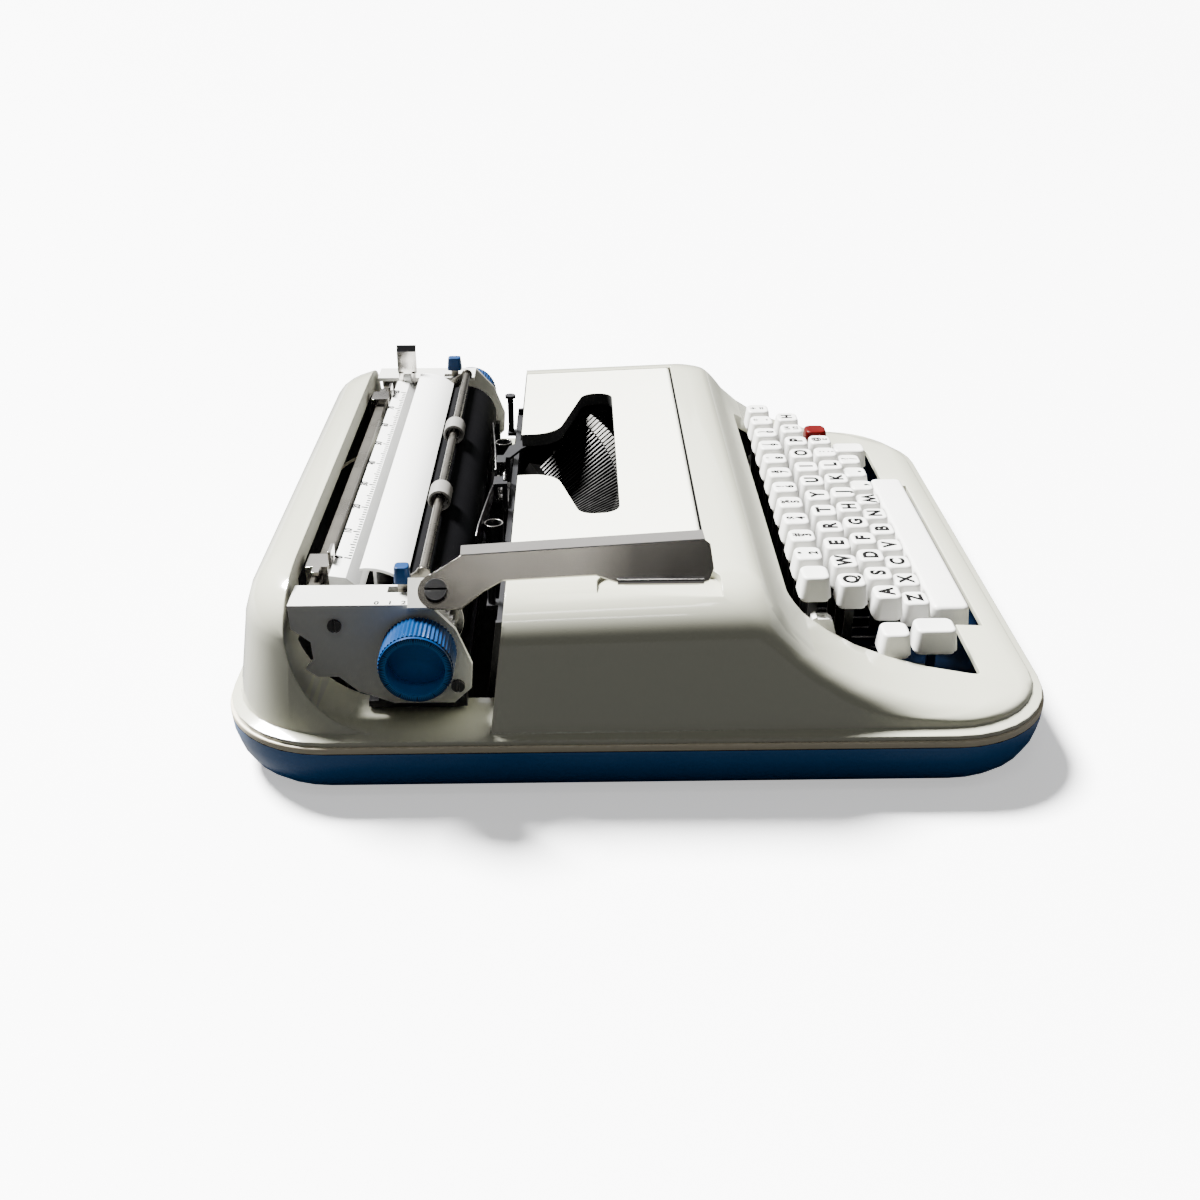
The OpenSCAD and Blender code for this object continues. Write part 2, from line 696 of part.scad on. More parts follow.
// Keys: first column of each row in pitches, row lines and cap tops
row_first = [-5.522, -5.022, -4.778, -4.272];
row_y = [front + 94.2, front + 76.5, front + 59.8, front + 44.7];
row_top = [68.5, 60.3, 52, 44];
stem_w = 4;
boss_r = 5;
left_shift_x = -5.633 * key_pitch;
right_shift_x = 5.683 * key_pitch;
shift_y = front + 42;
lock_x = -6.11 * key_pitch;
lock_y = front + 61;
lock_top = 47;
space_y = front + 28;
space_top = 39;
space_h = 9;
space_dd = 17.5;
space_drop = 5.5;
space_arms = [-3.65 * key_pitch, 3.35 * key_pitch];

function key_x(row, i) = key_pitch * (row_first[row] + i);

module key_cap(x, y, top, w, d) {
    translate([x, y, top - cap_h]) {
        linear_extrude(skirt_h + 0.1)
            rounded_rect(w - 2 * skirt_in, d - 2 * skirt_in, 2, $fn = 8);
        translate([0, 0, skirt_h]) linear_extrude(cap_h - skirt_h, slices = 1,
            scale = [(w - 2 * cap_taper) / w, (d - 2 * cap_taper) / d])
                rounded_rect(w, d, 2.6, $fn = 12);
    }
}

// Strip from the fulcrum rod to a key, with its stem up to the cap
module key_lever(x, y, stem_top, drop) {
    low = fulcrum_z - lever_h / 2 - drop;
    along_x(x - lever_t / 2, x + lever_t / 2) difference() {
        union() {
            translate([fulcrum_y, fulcrum_z]) circle(boss_r);
            translate([y - stem_w / 2, low]) square([fulcrum_y - y + stem_w / 2 + 3, lever_h]);
            translate([y - stem_w / 2, low]) square([stem_w, stem_top - low]);
            translate([fulcrum_y - 3, low]) square([6, drop + 2]);
        }
        translate([fulcrum_y, fulcrum_z]) circle(fulcrum_r + running);
    }
}

module row_caps(row, from, to) {
    for (i = [from : to]) key_cap(key_x(row, i), row_y[row], row_top[row], cap_w, cap_d);
}

module row_levers(row, from, to) {
    for (i = [from : to]) key_lever(key_x(row, i), row_y[row], row_top[row] - cap_h, 0);
}

module single_key(x, y, top, w, d) {
    key_cap(x, y, top, w, d);
    key_lever(x, y, top - cap_h + 2, 0);
}

cap_tone = [0.91, 0.91, 0.88];
steel_tone = [0.50, 0.50, 0.50];

module number_row_caps() color(cap_tone) row_caps(0, 1, 11);
module number_row_levers() color(steel_tone) row_levers(0, 1, 11);
module top_row_caps() color(cap_tone) row_caps(1, 0, 10);
module top_row_levers() color(steel_tone) row_levers(1, 0, 10);
module home_row_caps() color(cap_tone) row_caps(2, 0, 10);
module home_row_levers() color(steel_tone) row_levers(2, 0, 10);
module bottom_row_caps() color(cap_tone) row_caps(3, 0, 9);
module bottom_row_levers() color(steel_tone) row_levers(3, 0, 9);

module margin_release_key() color(cap_tone)
    single_key(key_x(0, 0), row_y[0], row_top[0], cap_w, cap_d);
module backspace_key() color(cap_tone)
    single_key(key_x(1, 11), row_y[1], row_top[1], cap_w, cap_d);
module tab_key() color([0.75, 0.12, 0.10])
    single_key(key_pitch * tab_col, row_y[2], row_top[2], cap_w - 0.8, cap_d);
module left_shift_key() color(cap_tone)
    single_key(left_shift_x, shift_y, row_top[3], cap_w, shift_d);
module right_shift_key() color(cap_tone)
    single_key(right_shift_x, shift_y, row_top[3], cap_w, shift_d);
module shift_lock_key() color(cap_tone)
    single_key(lock_x, lock_y, lock_top, cap_w, cap_d);

module space_bar() color(cap_tone) {
    translate([space_mid, space_y, space_top - space_h])
        linear_extrude(space_h, scale = [(space_l - 2) / space_l, (space_dd - 1.6) / space_dd],
                       slices = 1)
            rounded_rect(space_l, space_dd, 4, $fn = 16);
    for (x = space_arms) key_lever(x, space_y, space_top - space_h + 2, space_drop);
}

// Comb that keeps the levers apart
comb_y = front + 108.5;
comb_t = 1.6;
slot_w = lever_t + 1.2;

module key_comb() color([0.10, 0.10, 0.10])
    translate([0, comb_y + comb_t, 0]) rotate([90, 0, 0]) linear_extrude(comb_t) difference() {
        translate([-frame_half + plate_frame_t, floor_z + 2])
            square([2 * (frame_half - plate_frame_t), 40]);
        for (x = concat([for (i = [0 : 11]) key_x(0, i)], [for (i = [0 : 11]) key_x(1, i)],
                        [for (i = [0 : 10]) key_x(2, i)], [for (i = [0 : 9]) key_x(3, i)],
                        [key_pitch * tab_col, left_shift_x, right_shift_x, lock_x], space_arms))
            translate([x - slot_w / 2, floor_z + 3.5]) square([slot_w, 18.5]);
    }

// Ribbon colour selector at the left, touch regulator at the right
selector_x = -key_reach + 7.5;
touch_x = key_reach - 8.3;
side_lever_r = 2;
selector_y = front + 91;
selector_z = 30;
touch_y = front + 93;
paddle_half = 2.8;

module side_lever(x0, y, reach) {
    s = sign(x0);
    rod_x(side_lever_r, min(x0, s * (frame_half + 1.5)), max(x0, s * (frame_half + 1.5)),
          y, selector_z);
    rod_x(3, x0 - 1, x0 + 1, y, selector_z);
    box(x0 - 1, x0 + 1, y - 2, y + 2, selector_z, selector_z + reach - 7);
}

// Paddle on the selector: leaning to the rear, with a colour groove along its top
module ribbon_selector() color(cap_tone) {
    x0 = selector_x;
    side_lever(x0, selector_y, 24);
    along_x(x0 - paddle_half, x0 + paddle_half) translate([selector_y, selector_z + 15]) difference() {
        polygon([[-5, 0.8], [-4.2, 0], [3.2, 0], [5.4, 6.4], [5.2, 8.4], [3.8, 9.2], [-1.6, 8.2],
                 [-3.2, 7.2]]);
        polygon([[-0.8, 8.4], [-0.4, 7.4], [3.4, 8], [3.2, 10], [-1, 9.4]]);
    }
    for (s = [-1, 1])
        box(x0 + s * (paddle_half - 0.5) - 0.5, x0 + s * (paddle_half - 0.5) + 0.5,
            selector_y - 1.8, selector_y + 4.2, selector_z + 20, selector_z + 23.4);
}

module touch_lever() color(cap_tone) {
    side_lever(touch_x, touch_y, 27);
    translate([touch_x, touch_y, selector_z + 18]) linear_extrude(9, scale = 0.86)
        rounded_rect(5, 8, 1.6, $fn = 16);
}

// Carriage lines
platen_y = well_rear - 51;
platen_z = shell_top - 24.5;
platen_r = platen_d / 2;
carriage_half = half_w - 3 - knob_l - 1.5;
plate_in = carriage_half - plate_t;
flange_x = carriage_half - flange_w;
platen_half = flange_x - 7;
bed_top = platen_z - 25;
bed_t = 3;
rail_half = well_half - 5;
rail_top = bed_top - bed_t - slide_gap - 1;
shoe_half = 16;
scale_rod = [platen_y + 32, platen_z + 10.4];
bed_screw = [platen_y - 14.1, platen_z - 17];
plate_screw_r = 1.6;
bail_pivot = [platen_y + 15, platen_z + 11];
bail_pin_r = 2;
bail_line = [platen_y - 0.7, platen_z + platen_r + bail_roller_r + slide_gap];
feed_angle = 30;
feed_gap = platen_r + feed_r + slide_gap;

module carriage_rail() color([0.55, 0.55, 0.54]) {
    y = platen_y;
    box(-rail_half, rail_half, y - 6, y + 6, rail_top - 3, rail_top);
    box(-rail_half, rail_half, y - 2, y + 2, rail_top - 9, rail_top - 2.9);
    for (x = [-100, 0, 100])
        box(x - 6, x + 6, y - 4, y + 4, floor_z, rail_top - 8.9);
}

module carriage_bed() color([0.22, 0.22, 0.23]) difference() {
    union() {
        box(-plate_in, plate_in, platen_y - 16, platen_y + 22, bed_top - bed_t, bed_top);
        for (s = [-1, 1])
            box(min(s * plate_in, s * (plate_in - 6)), max(s * plate_in, s * (plate_in - 6)),
                platen_y - 17, platen_y + 18, bed_top - bed_t, bed_top + 13);
        difference() {
            box(-shoe_half, shoe_half, platen_y - 9, platen_y + 9, rail_top - 6, bed_top);
            box(-shoe_half - 1, shoe_half + 1, platen_y - 6 - slide_gap, platen_y + 6 + slide_gap,
                rail_top - 3 - slide_gap, rail_top + slide_gap);
            box(-shoe_half - 1, shoe_half + 1, platen_y - 2 - slide_gap, platen_y + 2 + slide_gap,
                rail_top - 20, rail_top);
        }
    }
    for (s = [-1, 1])
        rod_x(plate_screw_r + 0.02, min(s * plate_in, s * (plate_in - 5)) - 1,
              max(s * plate_in, s * (plate_in - 5)) + 1, bed_screw.x, bed_screw.y);
}

// Cheek of the carriage, seen from its left end
module end_plate_profile() {
    translate([platen_y, platen_z]) polygon([
        [49.3, 19], [-4.4, 19], [-14.2, 8], [-20, -7.7], [-19.2, -18.4], [-12.3, -25], [11.4, -25],
        [25.2, -19.5], [32.4, -12.6], [40.6, -12.6], [45, -9], [41.6, -4.8], [41.9, 3], [49, 9]]);
}

module end_plate(s) {
    x_out = s * carriage_half;
    x_in = s * plate_in;
    difference() {
        union() {
            along_x(min(x_out, x_in), max(x_out, x_in)) end_plate_profile();
            box(min(x_out, s * flange_x), max(x_out, s * flange_x), platen_y - 4.4, platen_y + 49.3,
                platen_z + 19 - plate_t, platen_z + 19);
        }
        for (hole = [[platen_y, platen_z, shaft_r + running],
                     [scale_rod.x, scale_rod.y, plate_screw_r + 0.02],
                     [bed_screw.x, bed_screw.y, plate_screw_r + 0.02]])
            rod_x(hole[2], min(x_out, x_in) - 1, max(x_out, x_in) + 1, hole.x, hole.y);
        x_end = s * (carriage_half - 0.5);
        for (hole = [[bail_pivot.x, bail_pivot.y, bail_pin_r + running],
                     [small_pivot.x, small_pivot.y, small_pin_r + running]])
            rod_x(hole[2], min(x_in - s, x_end), max(x_in - s, x_end), hole.x, hole.y);
        box(s * small_x - 2.5, s * small_x + 2.5, small_pivot.x - 6, small_pivot.x + 6,
            platen_z + 10, platen_z + 30);
    }
}

// Small levers that stand up through the flanges
small_x = (carriage_half + flange_x) / 2 - 4.5;
small_pivot = [platen_y + 6.5, platen_z + 7];
small_pin_r = 1.5;
small_top = platen_z + 22.5;

module small_lever(s) {
    x0 = s * small_x;
    x_end = s * (carriage_half - 0.7);
    rod_x(small_pin_r, min(x0, x_end), max(x0, x_end), small_pivot.x, small_pivot.y);
    along_x(x0 - 1, x0 + 1) {
        translate(small_pivot) circle(3);
        translate([small_pivot.x - 2, small_pivot.y]) square([4, small_top - small_pivot.y]);
    }
}

module line_space_lever() color([0.35, 0.35, 0.35]) small_lever(-1);
module paper_release_lever() color([0.35, 0.35, 0.35]) small_lever(1);

module line_space_tip() color([0.10, 0.22, 0.45])
    translate([-small_x, small_pivot.x, small_top]) linear_extrude(7, scale = 0.88)
        rounded_rect(6.4, 6.4, 1.8, $fn = 16);

module paper_release_tip() color([0.10, 0.22, 0.45])
    translate([small_x, small_pivot.x, small_top]) linear_extrude(7, scale = 0.85)
        rounded_rect(6.4, 8, 1.6, $fn = 16);

// Return lever in its own frame: X towards the typist, Y up the plate, Z out of its face
lever_pivot = [-(carriage_half - 1.5), platen_y - 7.7, shell_top - 1];

module on_lever() {
    k = sqrt(0.5);
    multmatrix([[0, k, -k, lever_pivot.x], [-1, 0, 0, lever_pivot.y],
                [0, k, k, lever_pivot.z], [0, 0, 0, 1]]) children();
}

bend_from = [9, 14.1];
bend_to = [103, 19.7];
bend_angle = atan2(bend_to.y - bend_from.y, bend_to.x - bend_from.x);
bend_l = norm(bend_to - bend_from);

module return_lever() color([0.72, 0.72, 0.70]) on_lever() difference() {
    union() {
        linear_extrude(lever_plate_t) {
            polygon([[-6, 4], bend_from, bend_to, [105, 18], [106, 8], [104, 3.4], [100, 2],
                     [72, 2], [66, 4], [61, 6], [25, 4.2], [18, 0], [9.5, -7], [2, -7], [-6, -2]]);
            circle(7);
        }
        translate([bend_from.x, bend_from.y, 0]) rotate([0, 0, bend_angle]) rotate([-45, 0, 0])
            translate([0, -1.2, 0]) cube([bend_l, 8.2, lever_plate_t]);
        translate([69, 3.4, 1.4]) rotate([0, 90, 0]) cylinder(r = 1.6, h = 33);
    }
    translate([0, 0, -1]) cylinder(r = pivot_r + running, h = 5);
}

module left_end_plate() color([0.72, 0.73, 0.71]) {
    end_plate(-1);
    on_lever() difference() {
        box(-11, 8, -6, 6, -3.3, -slide_gap);
        translate([0, 0, -5]) cylinder(r = pivot_r + 0.02, h = 8);
    }
}

module right_end_plate() color([0.72, 0.73, 0.71]) end_plate(1);

module carriage_screws() color([0.42, 0.42, 0.40]) {
    for (s = [-1, 1], at = [scale_rod, bed_screw])
        translate([s * carriage_half, at.x, at.y]) rotate([0, s * 90, 0])
            slotted_screw(2.7, 1.3, plate_screw_r, plate_t + 3);
    on_lever() translate([0, 0, lever_plate_t + slide_gap])
        slotted_screw(4.3, 2, pivot_r, lever_plate_t + slide_gap + 3.2);
}

// Paper table: a curved lip behind the platen on a back plate
table_r = platen_r + 5.6;
table_mid = [platen_y + 22, platen_z + 1.4];
table_half = platen_half + 1.2;

module paper_table() color([0.90, 0.90, 0.86]) {
    along_x(-table_half, table_half) {
        translate(table_mid) intersection() {
            difference() {
                circle(table_r, $fn = 120);
                circle(table_r - table_t, $fn = 120);
            }
            polygon([[2.4, 0], [2.4, 60], [-60, 60], [-60 * cos(43), 60 * sin(43)]]);
        }
        translate([platen_y + platen_r + 1.6, bed_top])
            square([table_t, table_mid.y + table_r - table_t * 0.8 - bed_top - 0.55]);
    }
}

module scale_bar() color([0.89, 0.89, 0.85]) difference() {
    union() {
        along_x(-platen_half, platen_half) translate([platen_y, platen_z])
            polygon([[37.2, 19.6], [30.6, 18.6], [26, 14.6], [26, 7], [37.2, 7]]);
        rod_x(3, -plate_in, plate_in, scale_rod.x, scale_rod.y);
        box(platen_half - 1, clip_x + 2.6, scale_rod.x - 2, scale_rod.x + 2,
            platen_z + 8, clip_z - 2.6);
        box(clip_x - 2.6, clip_x + 2.6, scale_rod.x - 2, scale_rod.x + 2, platen_z + 8, clip_z);
        translate([clip_x, scale_rod.x - 2, clip_z]) rotate([-90, 0, 0]) cylinder(r = 2.6, h = 4);
    }
    for (s = [-1, 1])
        rod_x(plate_screw_r + 0.02, min(s * plate_in, s * (plate_in - 4)) - 0.5,
              max(s * plate_in, s * (plate_in - 4)) + 0.5, scale_rod.x, scale_rod.y);
    translate([clip_x, scale_rod.x - 5, clip_z]) rotate([-90, 0, 0])
        cylinder(r = clip_pin_r + running, h = 10);
}

// Upright paper clip on the tongue at the scale bar's right end
clip_x = platen_half + 3.4;
clip_z = platen_z + 20;
clip_pin_r = 1.4;
clip_h = 18;

module paper_clip() color([0.75, 0.75, 0.74]) translate([clip_x, scale_rod.x, clip_z]) {
    translate([0, -4.5, 0]) rotate([-90, 0, 0]) cylinder(r = clip_pin_r, h = 9);
    for (y = [-4.6, 2 + slide_gap])
        translate([-2, y, -2]) cube([4, 4.6 - 2 - slide_gap, 5.4]);
    translate([-0.6, -5.2, 3.2]) cube([1.2, 10.4, clip_h - 6]);
    translate([0, 5.2, clip_h - 3]) rotate([90, 0, 0]) linear_extrude(10.4)
        polygon([[-0.6, 0], [0.6, 0], [2.8, 3], [1.6, 3.4]]);
}

rail_y0 = platen_y + 41.5;
rail_w = 4.5;
rail_z0 = platen_z + 11;
rail_h = 4;

module margin_rail() color([0.60, 0.60, 0.58]) {
    box(-plate_in, plate_in, rail_y0, rail_y0 + rail_w, rail_z0, rail_z0 + rail_h);
    box(-plate_in, plate_in, rail_y0 + 0.7, rail_y0 + rail_w - 0.7, rail_z0 - 3, rail_z0 + 0.1);
}

stop_half = 6;
left_stop_x = 23 - flange_x;
right_stop_x = flange_x - 28;

module margin_stop(x, s) {
    y0 = rail_y0 - slide_gap;
    y1 = rail_y0 + rail_w + slide_gap;
    z1 = rail_z0 + rail_h + slide_gap;
    difference() {
        box(x - stop_half, x + stop_half, y0 - 1.8, y1 + 2.2, rail_z0 - 2.5, z1 + 3.4);
        box(x - stop_half - 1, x + stop_half + 1, y0, y1, rail_z0 - 5, z1);
    }
    box(x - 4, x + 4, y0 - 3.4, y0 - 1.7, z1 + 1.2, z1 + 3.4);
    box(x - 4, x + 4, y0 - 3.4, y0 - 2, z1 + 2, z1 + 9);
    box(min(x, x + s * 11), max(x, x + s * 11), y0 + 1, y1 - 1, z1 + 1.8, z1 + 3.4);
}

module left_margin_stop() color([0.76, 0.76, 0.74]) margin_stop(left_stop_x, -1);
module right_margin_stop() color([0.76, 0.76, 0.74]) margin_stop(right_stop_x, 1);

module feed_rollers() color([0.15, 0.15, 0.15]) for (s = [-1, 1]) {
    y = platen_y + s * feed_gap * sin(feed_angle);
    z = platen_z - feed_gap * cos(feed_angle);
    rod_x(1.5, -plate_in + 6, plate_in - 6, y, z);
    for (x = [-75, 0, 75]) rod_x(feed_r, x - 18, x + 18, y, z);
}

module platen() color([0.07, 0.07, 0.07]) difference() {
    rod_x(platen_r, -platen_half, platen_half, platen_y, platen_z);
    rod_x(shaft_r + 0.02, -platen_half - 1, platen_half + 1, platen_y, platen_z);
}

// Shaft with end discs and the line-space ratchet at the left
ratchet_teeth = 32;
ratchet_r = 13;

module platen_shaft() color([0.58, 0.58, 0.57]) {
    rod_x(shaft_r, -shaft_end, shaft_end, platen_y, platen_z);
    for (s = [-1, 1])
        rod_x(platen_r - 1, min(s * platen_half, s * (platen_half + 1)),
              max(s * platen_half, s * (platen_half + 1)), platen_y, platen_z);
    along_x(-flange_x - 2.5, -flange_x + 1) translate([platen_y, platen_z])
        polygon([for (i = [0 : 2 * ratchet_teeth - 1]) let (r = ratchet_r - (i % 2) * 1.4,
            a = 180 * i / ratchet_teeth) [r * cos(a), r * sin(a)]]);
}

// Ribbed knob with a deep cup in its face
knob_ribs = 54;
knob_gap = 1.5;
knob_cup = 9;
shaft_end = carriage_half + knob_gap + knob_l - knob_cup - 1.7;

module knob(s) {
    x_in = s * (carriage_half + knob_gap);
    x_out = s * (carriage_half + knob_gap + knob_l);
    r = knob_d / 2;
    difference() {
        union() {
            along_x(min(x_in, x_out - s * 1.5), max(x_in, x_out - s * 1.5))
                translate([platen_y, platen_z])
                    polygon([for (i = [0 : 2 * knob_ribs - 1]) let (q = r - (i % 2) * 0.5,
                        a = 180 * i / knob_ribs) [q * cos(a), q * sin(a)]]);
            rod_x(r - 0.6, min(x_in, x_out), max(x_in, x_out), platen_y, platen_z);
        }
        rod_x(r - 3.2, min(x_out - s * knob_cup, x_out + s), max(x_out - s * knob_cup, x_out + s),
              platen_y, platen_z);
        rod_x(shaft_r + 0.02, min(x_in - s, s * (shaft_end + 0.2)), max(x_in - s, s * (shaft_end + 0.2)),
              platen_y, platen_z);
    }
}

module left_knob() color([0.10, 0.20, 0.40]) knob(-1);
module right_knob() color([0.10, 0.20, 0.40]) knob(1);

// Paper bail: rod, two arms and the pins they turn on
arm_in = platen_half + 2.2;
arm_t = 1.6;
bail_roller_x = [-45, 36];
bail_roller_l = 13;
roller_cup = 3.5;

module paper_bail() color([0.63, 0.63, 0.62]) {
    rod_x(bail_r, -arm_in - arm_t, arm_in + arm_t, bail_line.x, bail_line.y);
    for (s = [-1, 1]) {
        d = bail_line - bail_pivot;
        along_x(min(s * arm_in, s * (arm_in + arm_t)), max(s * arm_in, s * (arm_in + arm_t))) {
            translate(bail_line) circle(3);
            translate(bail_pivot) circle(3.6);
            translate(bail_pivot) rotate(atan2(d.y, d.x)) translate([0, -2.4]) square([norm(d), 4.8]);
        }
        x_end = s * (carriage_half - 0.7);
        rod_x(bail_pin_r, min(s * arm_in, x_end), max(s * arm_in, x_end), bail_pivot.x, bail_pivot.y);
    }
}

module bail_rollers() color([0.70, 0.70, 0.68]) for (x = bail_roller_x) difference() {
    rod_x(bail_roller_r, x - bail_roller_l / 2, x + bail_roller_l / 2, bail_line.x, bail_line.y);
    rod_x(bail_r + running, x - bail_roller_l, x + bail_roller_l, bail_line.x, bail_line.y);
    rod_x(bail_roller_r - 1.2, x - bail_roller_l / 2 - 1, x - bail_roller_l / 2 + roller_cup,
          bail_line.x, bail_line.y);
}

base_tub();
rubber_feet();
rim_bead();
body_shell();
main_frame();
frame_screws();
carriage_rail();
type_segment();
typebars();
typebar_rest();
type_guide();
ribbon_vibrator();
fulcrum_rod();
key_comb();
bell();
cover_hinge_pins();
mainspring_drum();
ribbon_cover();
left_ribbon_spool();
right_ribbon_spool();
number_row_caps();
number_row_levers();
top_row_caps();
top_row_levers();
home_row_caps();
home_row_levers();
bottom_row_caps();
bottom_row_levers();
space_bar();
left_shift_key();
right_shift_key();
shift_lock_key();
margin_release_key();
backspace_key();
tab_key();
ribbon_selector();
touch_lever();
carriage_bed();
left_end_plate();
right_end_plate();
carriage_screws();
paper_table();
scale_bar();
margin_rail();
feed_rollers();
platen();
platen_shaft();
left_knob();
right_knob();
return_lever();
line_space_lever();
line_space_tip();
paper_release_lever();
paper_release_tip();
paper_bail();
bail_rollers();
left_margin_stop();
right_margin_stop();
paper_clip();
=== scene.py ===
"""Looks of a portable manual typewriter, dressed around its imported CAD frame."""

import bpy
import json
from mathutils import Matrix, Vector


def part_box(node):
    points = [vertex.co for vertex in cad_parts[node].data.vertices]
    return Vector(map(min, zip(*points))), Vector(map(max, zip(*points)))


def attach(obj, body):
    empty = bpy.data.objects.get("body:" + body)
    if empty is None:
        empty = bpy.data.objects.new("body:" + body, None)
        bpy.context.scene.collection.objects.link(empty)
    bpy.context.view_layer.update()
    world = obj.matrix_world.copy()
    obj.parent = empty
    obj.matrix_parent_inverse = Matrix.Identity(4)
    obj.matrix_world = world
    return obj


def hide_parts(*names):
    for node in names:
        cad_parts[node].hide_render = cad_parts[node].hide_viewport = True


bl_info = {
    "name": "Portable Typewriter Looks",
    "version": (1, 0, 0),
    "blender": (4, 5, 0),
    "location": "View3D > Sidebar > Typewriter",
    "description": "Paints and details the frame of a portable manual typewriter",
    "category": "Object",
}

import json
import math

import bmesh
import bpy
from mathutils import Matrix, Vector
from mathutils.bvhtree import BVHTree

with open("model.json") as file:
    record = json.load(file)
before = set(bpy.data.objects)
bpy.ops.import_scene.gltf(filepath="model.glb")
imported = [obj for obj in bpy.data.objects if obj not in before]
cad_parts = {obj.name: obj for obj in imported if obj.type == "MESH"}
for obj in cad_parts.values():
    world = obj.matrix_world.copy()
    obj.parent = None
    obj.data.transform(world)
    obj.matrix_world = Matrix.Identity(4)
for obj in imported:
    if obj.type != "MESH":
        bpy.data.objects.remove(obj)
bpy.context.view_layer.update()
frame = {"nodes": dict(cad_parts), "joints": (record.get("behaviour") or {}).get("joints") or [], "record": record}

MM = 0.001
# Distances that keep two faces apart, and that still count as touching
HAIR = 0.01 * MM
NEAR = 0.02 * MM
UP = Vector((0.0, 0.0, 1.0))
# Share of its normal along an axis from which a face is turned that way, or square to the axis
TURNED = 0.6
SQUARE = 0.9
BODIES = frame["record"]["behaviour"]["bodies"]
BODY_OF = {node: body for body, nodes in BODIES.items() for node in nodes}
WHITE = (1.0, 1.0, 1.0)
BARE_METAL = (0.62, 0.61, 0.59)
# Colour mixed in at corners and seams: dust, with painted shade where ambient occlusion falls
DUST_AND_SHADE = (0.22, 0.20, 0.17)

# Usual finish of each material slot
FINISH_OF = {
    "tub_blue": "Tub Blue Paint", "rim_beige": "Rim Beige Plastic",
    "shell_cream": "Body Cream Gloss", "cover_cream": "Cover Cream Gloss",
    "black_steel": "Works Black Enamel", "dark_steel": "Oiled Dark Steel",
    "bright_steel": "Bright Steel", "polished": "Polished Plating",
    "grey_paint": "End Plate Grey", "white_paint": "Scale White Enamel",
    "key_white": "Key White Plastic", "key_red": "Tab Red Plastic",
    "blue_plastic": "Knob Blue Plastic", "platen_rubber": "Platen Charcoal Rubber",
    "foot_rubber": "Foot Black Rubber", "roller_grey": "Roller Grey Rubber", "brass": "Bell Brass"}

# Signs on the key tops, rear sign first where a key has two
NUMBER_SIGNS = [('"', "2"), ("#", "3"), ("$", "4"), ("%", "5"), ("!", "6"), ("&", "7"),
                ("'", "8"), ("(", "9"), (")", "0"), ("*", "-"), ("+", "=")]
TOP_SIGNS = ["Q", "W", "E", "R", "T", "Y", "U", "I", "O", "P", ("1/4", "1/2")]
HOME_SIGNS = ["A", "S", "D", "F", "G", "H", "J", "K", "L", (":", ";"), ("@", "c")]
BOTTOM_SIGNS = ["Z", "X", "C", "V", "B", "N", "M", ",", ".", ("?", "/")]
KEY_ROWS = [("number_row", NUMBER_SIGNS), ("top_row", TOP_SIGNS),
            ("home_row", HOME_SIGNS), ("bottom_row", BOTTOM_SIGNS)]
SINGLE_KEYS = ["margin_release_key", "backspace_key", "tab_key", "shift_lock_key",
               "left_shift_key", "right_shift_key"]
# Height at the top of a single key's node that holds its cap and none of its lever
CAP_ZONE = 9.5 * MM
# Share of their size by which the strokes of letters, of other signs and of digits are thickened
LETTER_BOLD = 0.045
SIGN_BOLD = 0.03
DIGIT_BOLD = 0.05
SIGN_THICK = 0.06 * MM

# Camera fitted to the photograph: its place and the directions of its right and upper sides
CAMERA_AT = Vector((-0.5979, 0.02315, 0.32022))
CAMERA_RIGHT = Vector((-0.01680477, -0.99985622, -0.00226661))
CAMERA_UP = Vector((0.46792809, -0.00986788, 0.88371145))


# Sizes and colours that a user would change

def paint(name, description, colour):
    return bpy.props.FloatVectorProperty(
        name=name, description=description, default=colour, size=3, min=0.0, max=1.0,
        subtype="COLOR")


def amount(name, description, value, least=0.0, **kind):
    return bpy.props.FloatProperty(
        name=name, description=description, default=value, min=least, **kind)


def length(name, description, millimetres):
    return amount(name, description, millimetres * MM, subtype="DISTANCE", unit="LENGTH",
                  precision=5)


class TypewriterPaints(bpy.types.PropertyGroup):
    """Colours of the typewriter's finishes"""
    tub: paint("Tub", "Satin blue of the tub base", (0.010, 0.12, 0.36))
    rim: paint("Rim", "Beige of the bead between tub and shell", (0.60, 0.54, 0.40))
    shell: paint("Shell", "Glossy cream of the body shell", (0.43, 0.43, 0.34))
    # Darker shell cream for the lip behind the keys: painted shade
    lip: paint("Lip", "Cream of the lip behind the keys", (0.32, 0.32, 0.265))
    cover: paint("Cover", "Cream of the ribbon cover", (0.76, 0.76, 0.65))
    keys: paint("Keys", "White of the key caps", (0.64, 0.635, 0.605))
    tab: paint("Tab key", "Red of the tab key", (0.052, 0.0014, 0.0014))
    knobs: paint("Knobs", "Blue of knobs and lever tips", (0.0008, 0.021, 0.078))
    # Darker tub blue for the floor under the keys: painted shade
    tub_inside: paint("Tub inside", "Blue of the tub's floor under the keys", (0.003, 0.016, 0.055))
    # Lighter knob blue for the hollow end: painted light in its shade
    knob_cup: paint("Knob cup", "Blue of the hollow end of a knob", (0.012, 0.17, 0.46))
    plates: paint("End plates", "Light grey of the carriage ends", (0.47, 0.47, 0.435))
    scale: paint("Scale", "White of scale bar and paper table", (0.80, 0.80, 0.77))
    works: paint("Works", "Black enamel of the inner works", (0.010, 0.010, 0.011))
    rubber: paint("Platen", "Charcoal of the platen", (0.0017, 0.0017, 0.0021))
    rollers: paint("Rollers", "Light grey of the bail rollers", (0.13, 0.125, 0.115))
    signs: paint("Signs", "Black of letters and scale marks", (0.004, 0.004, 0.004))


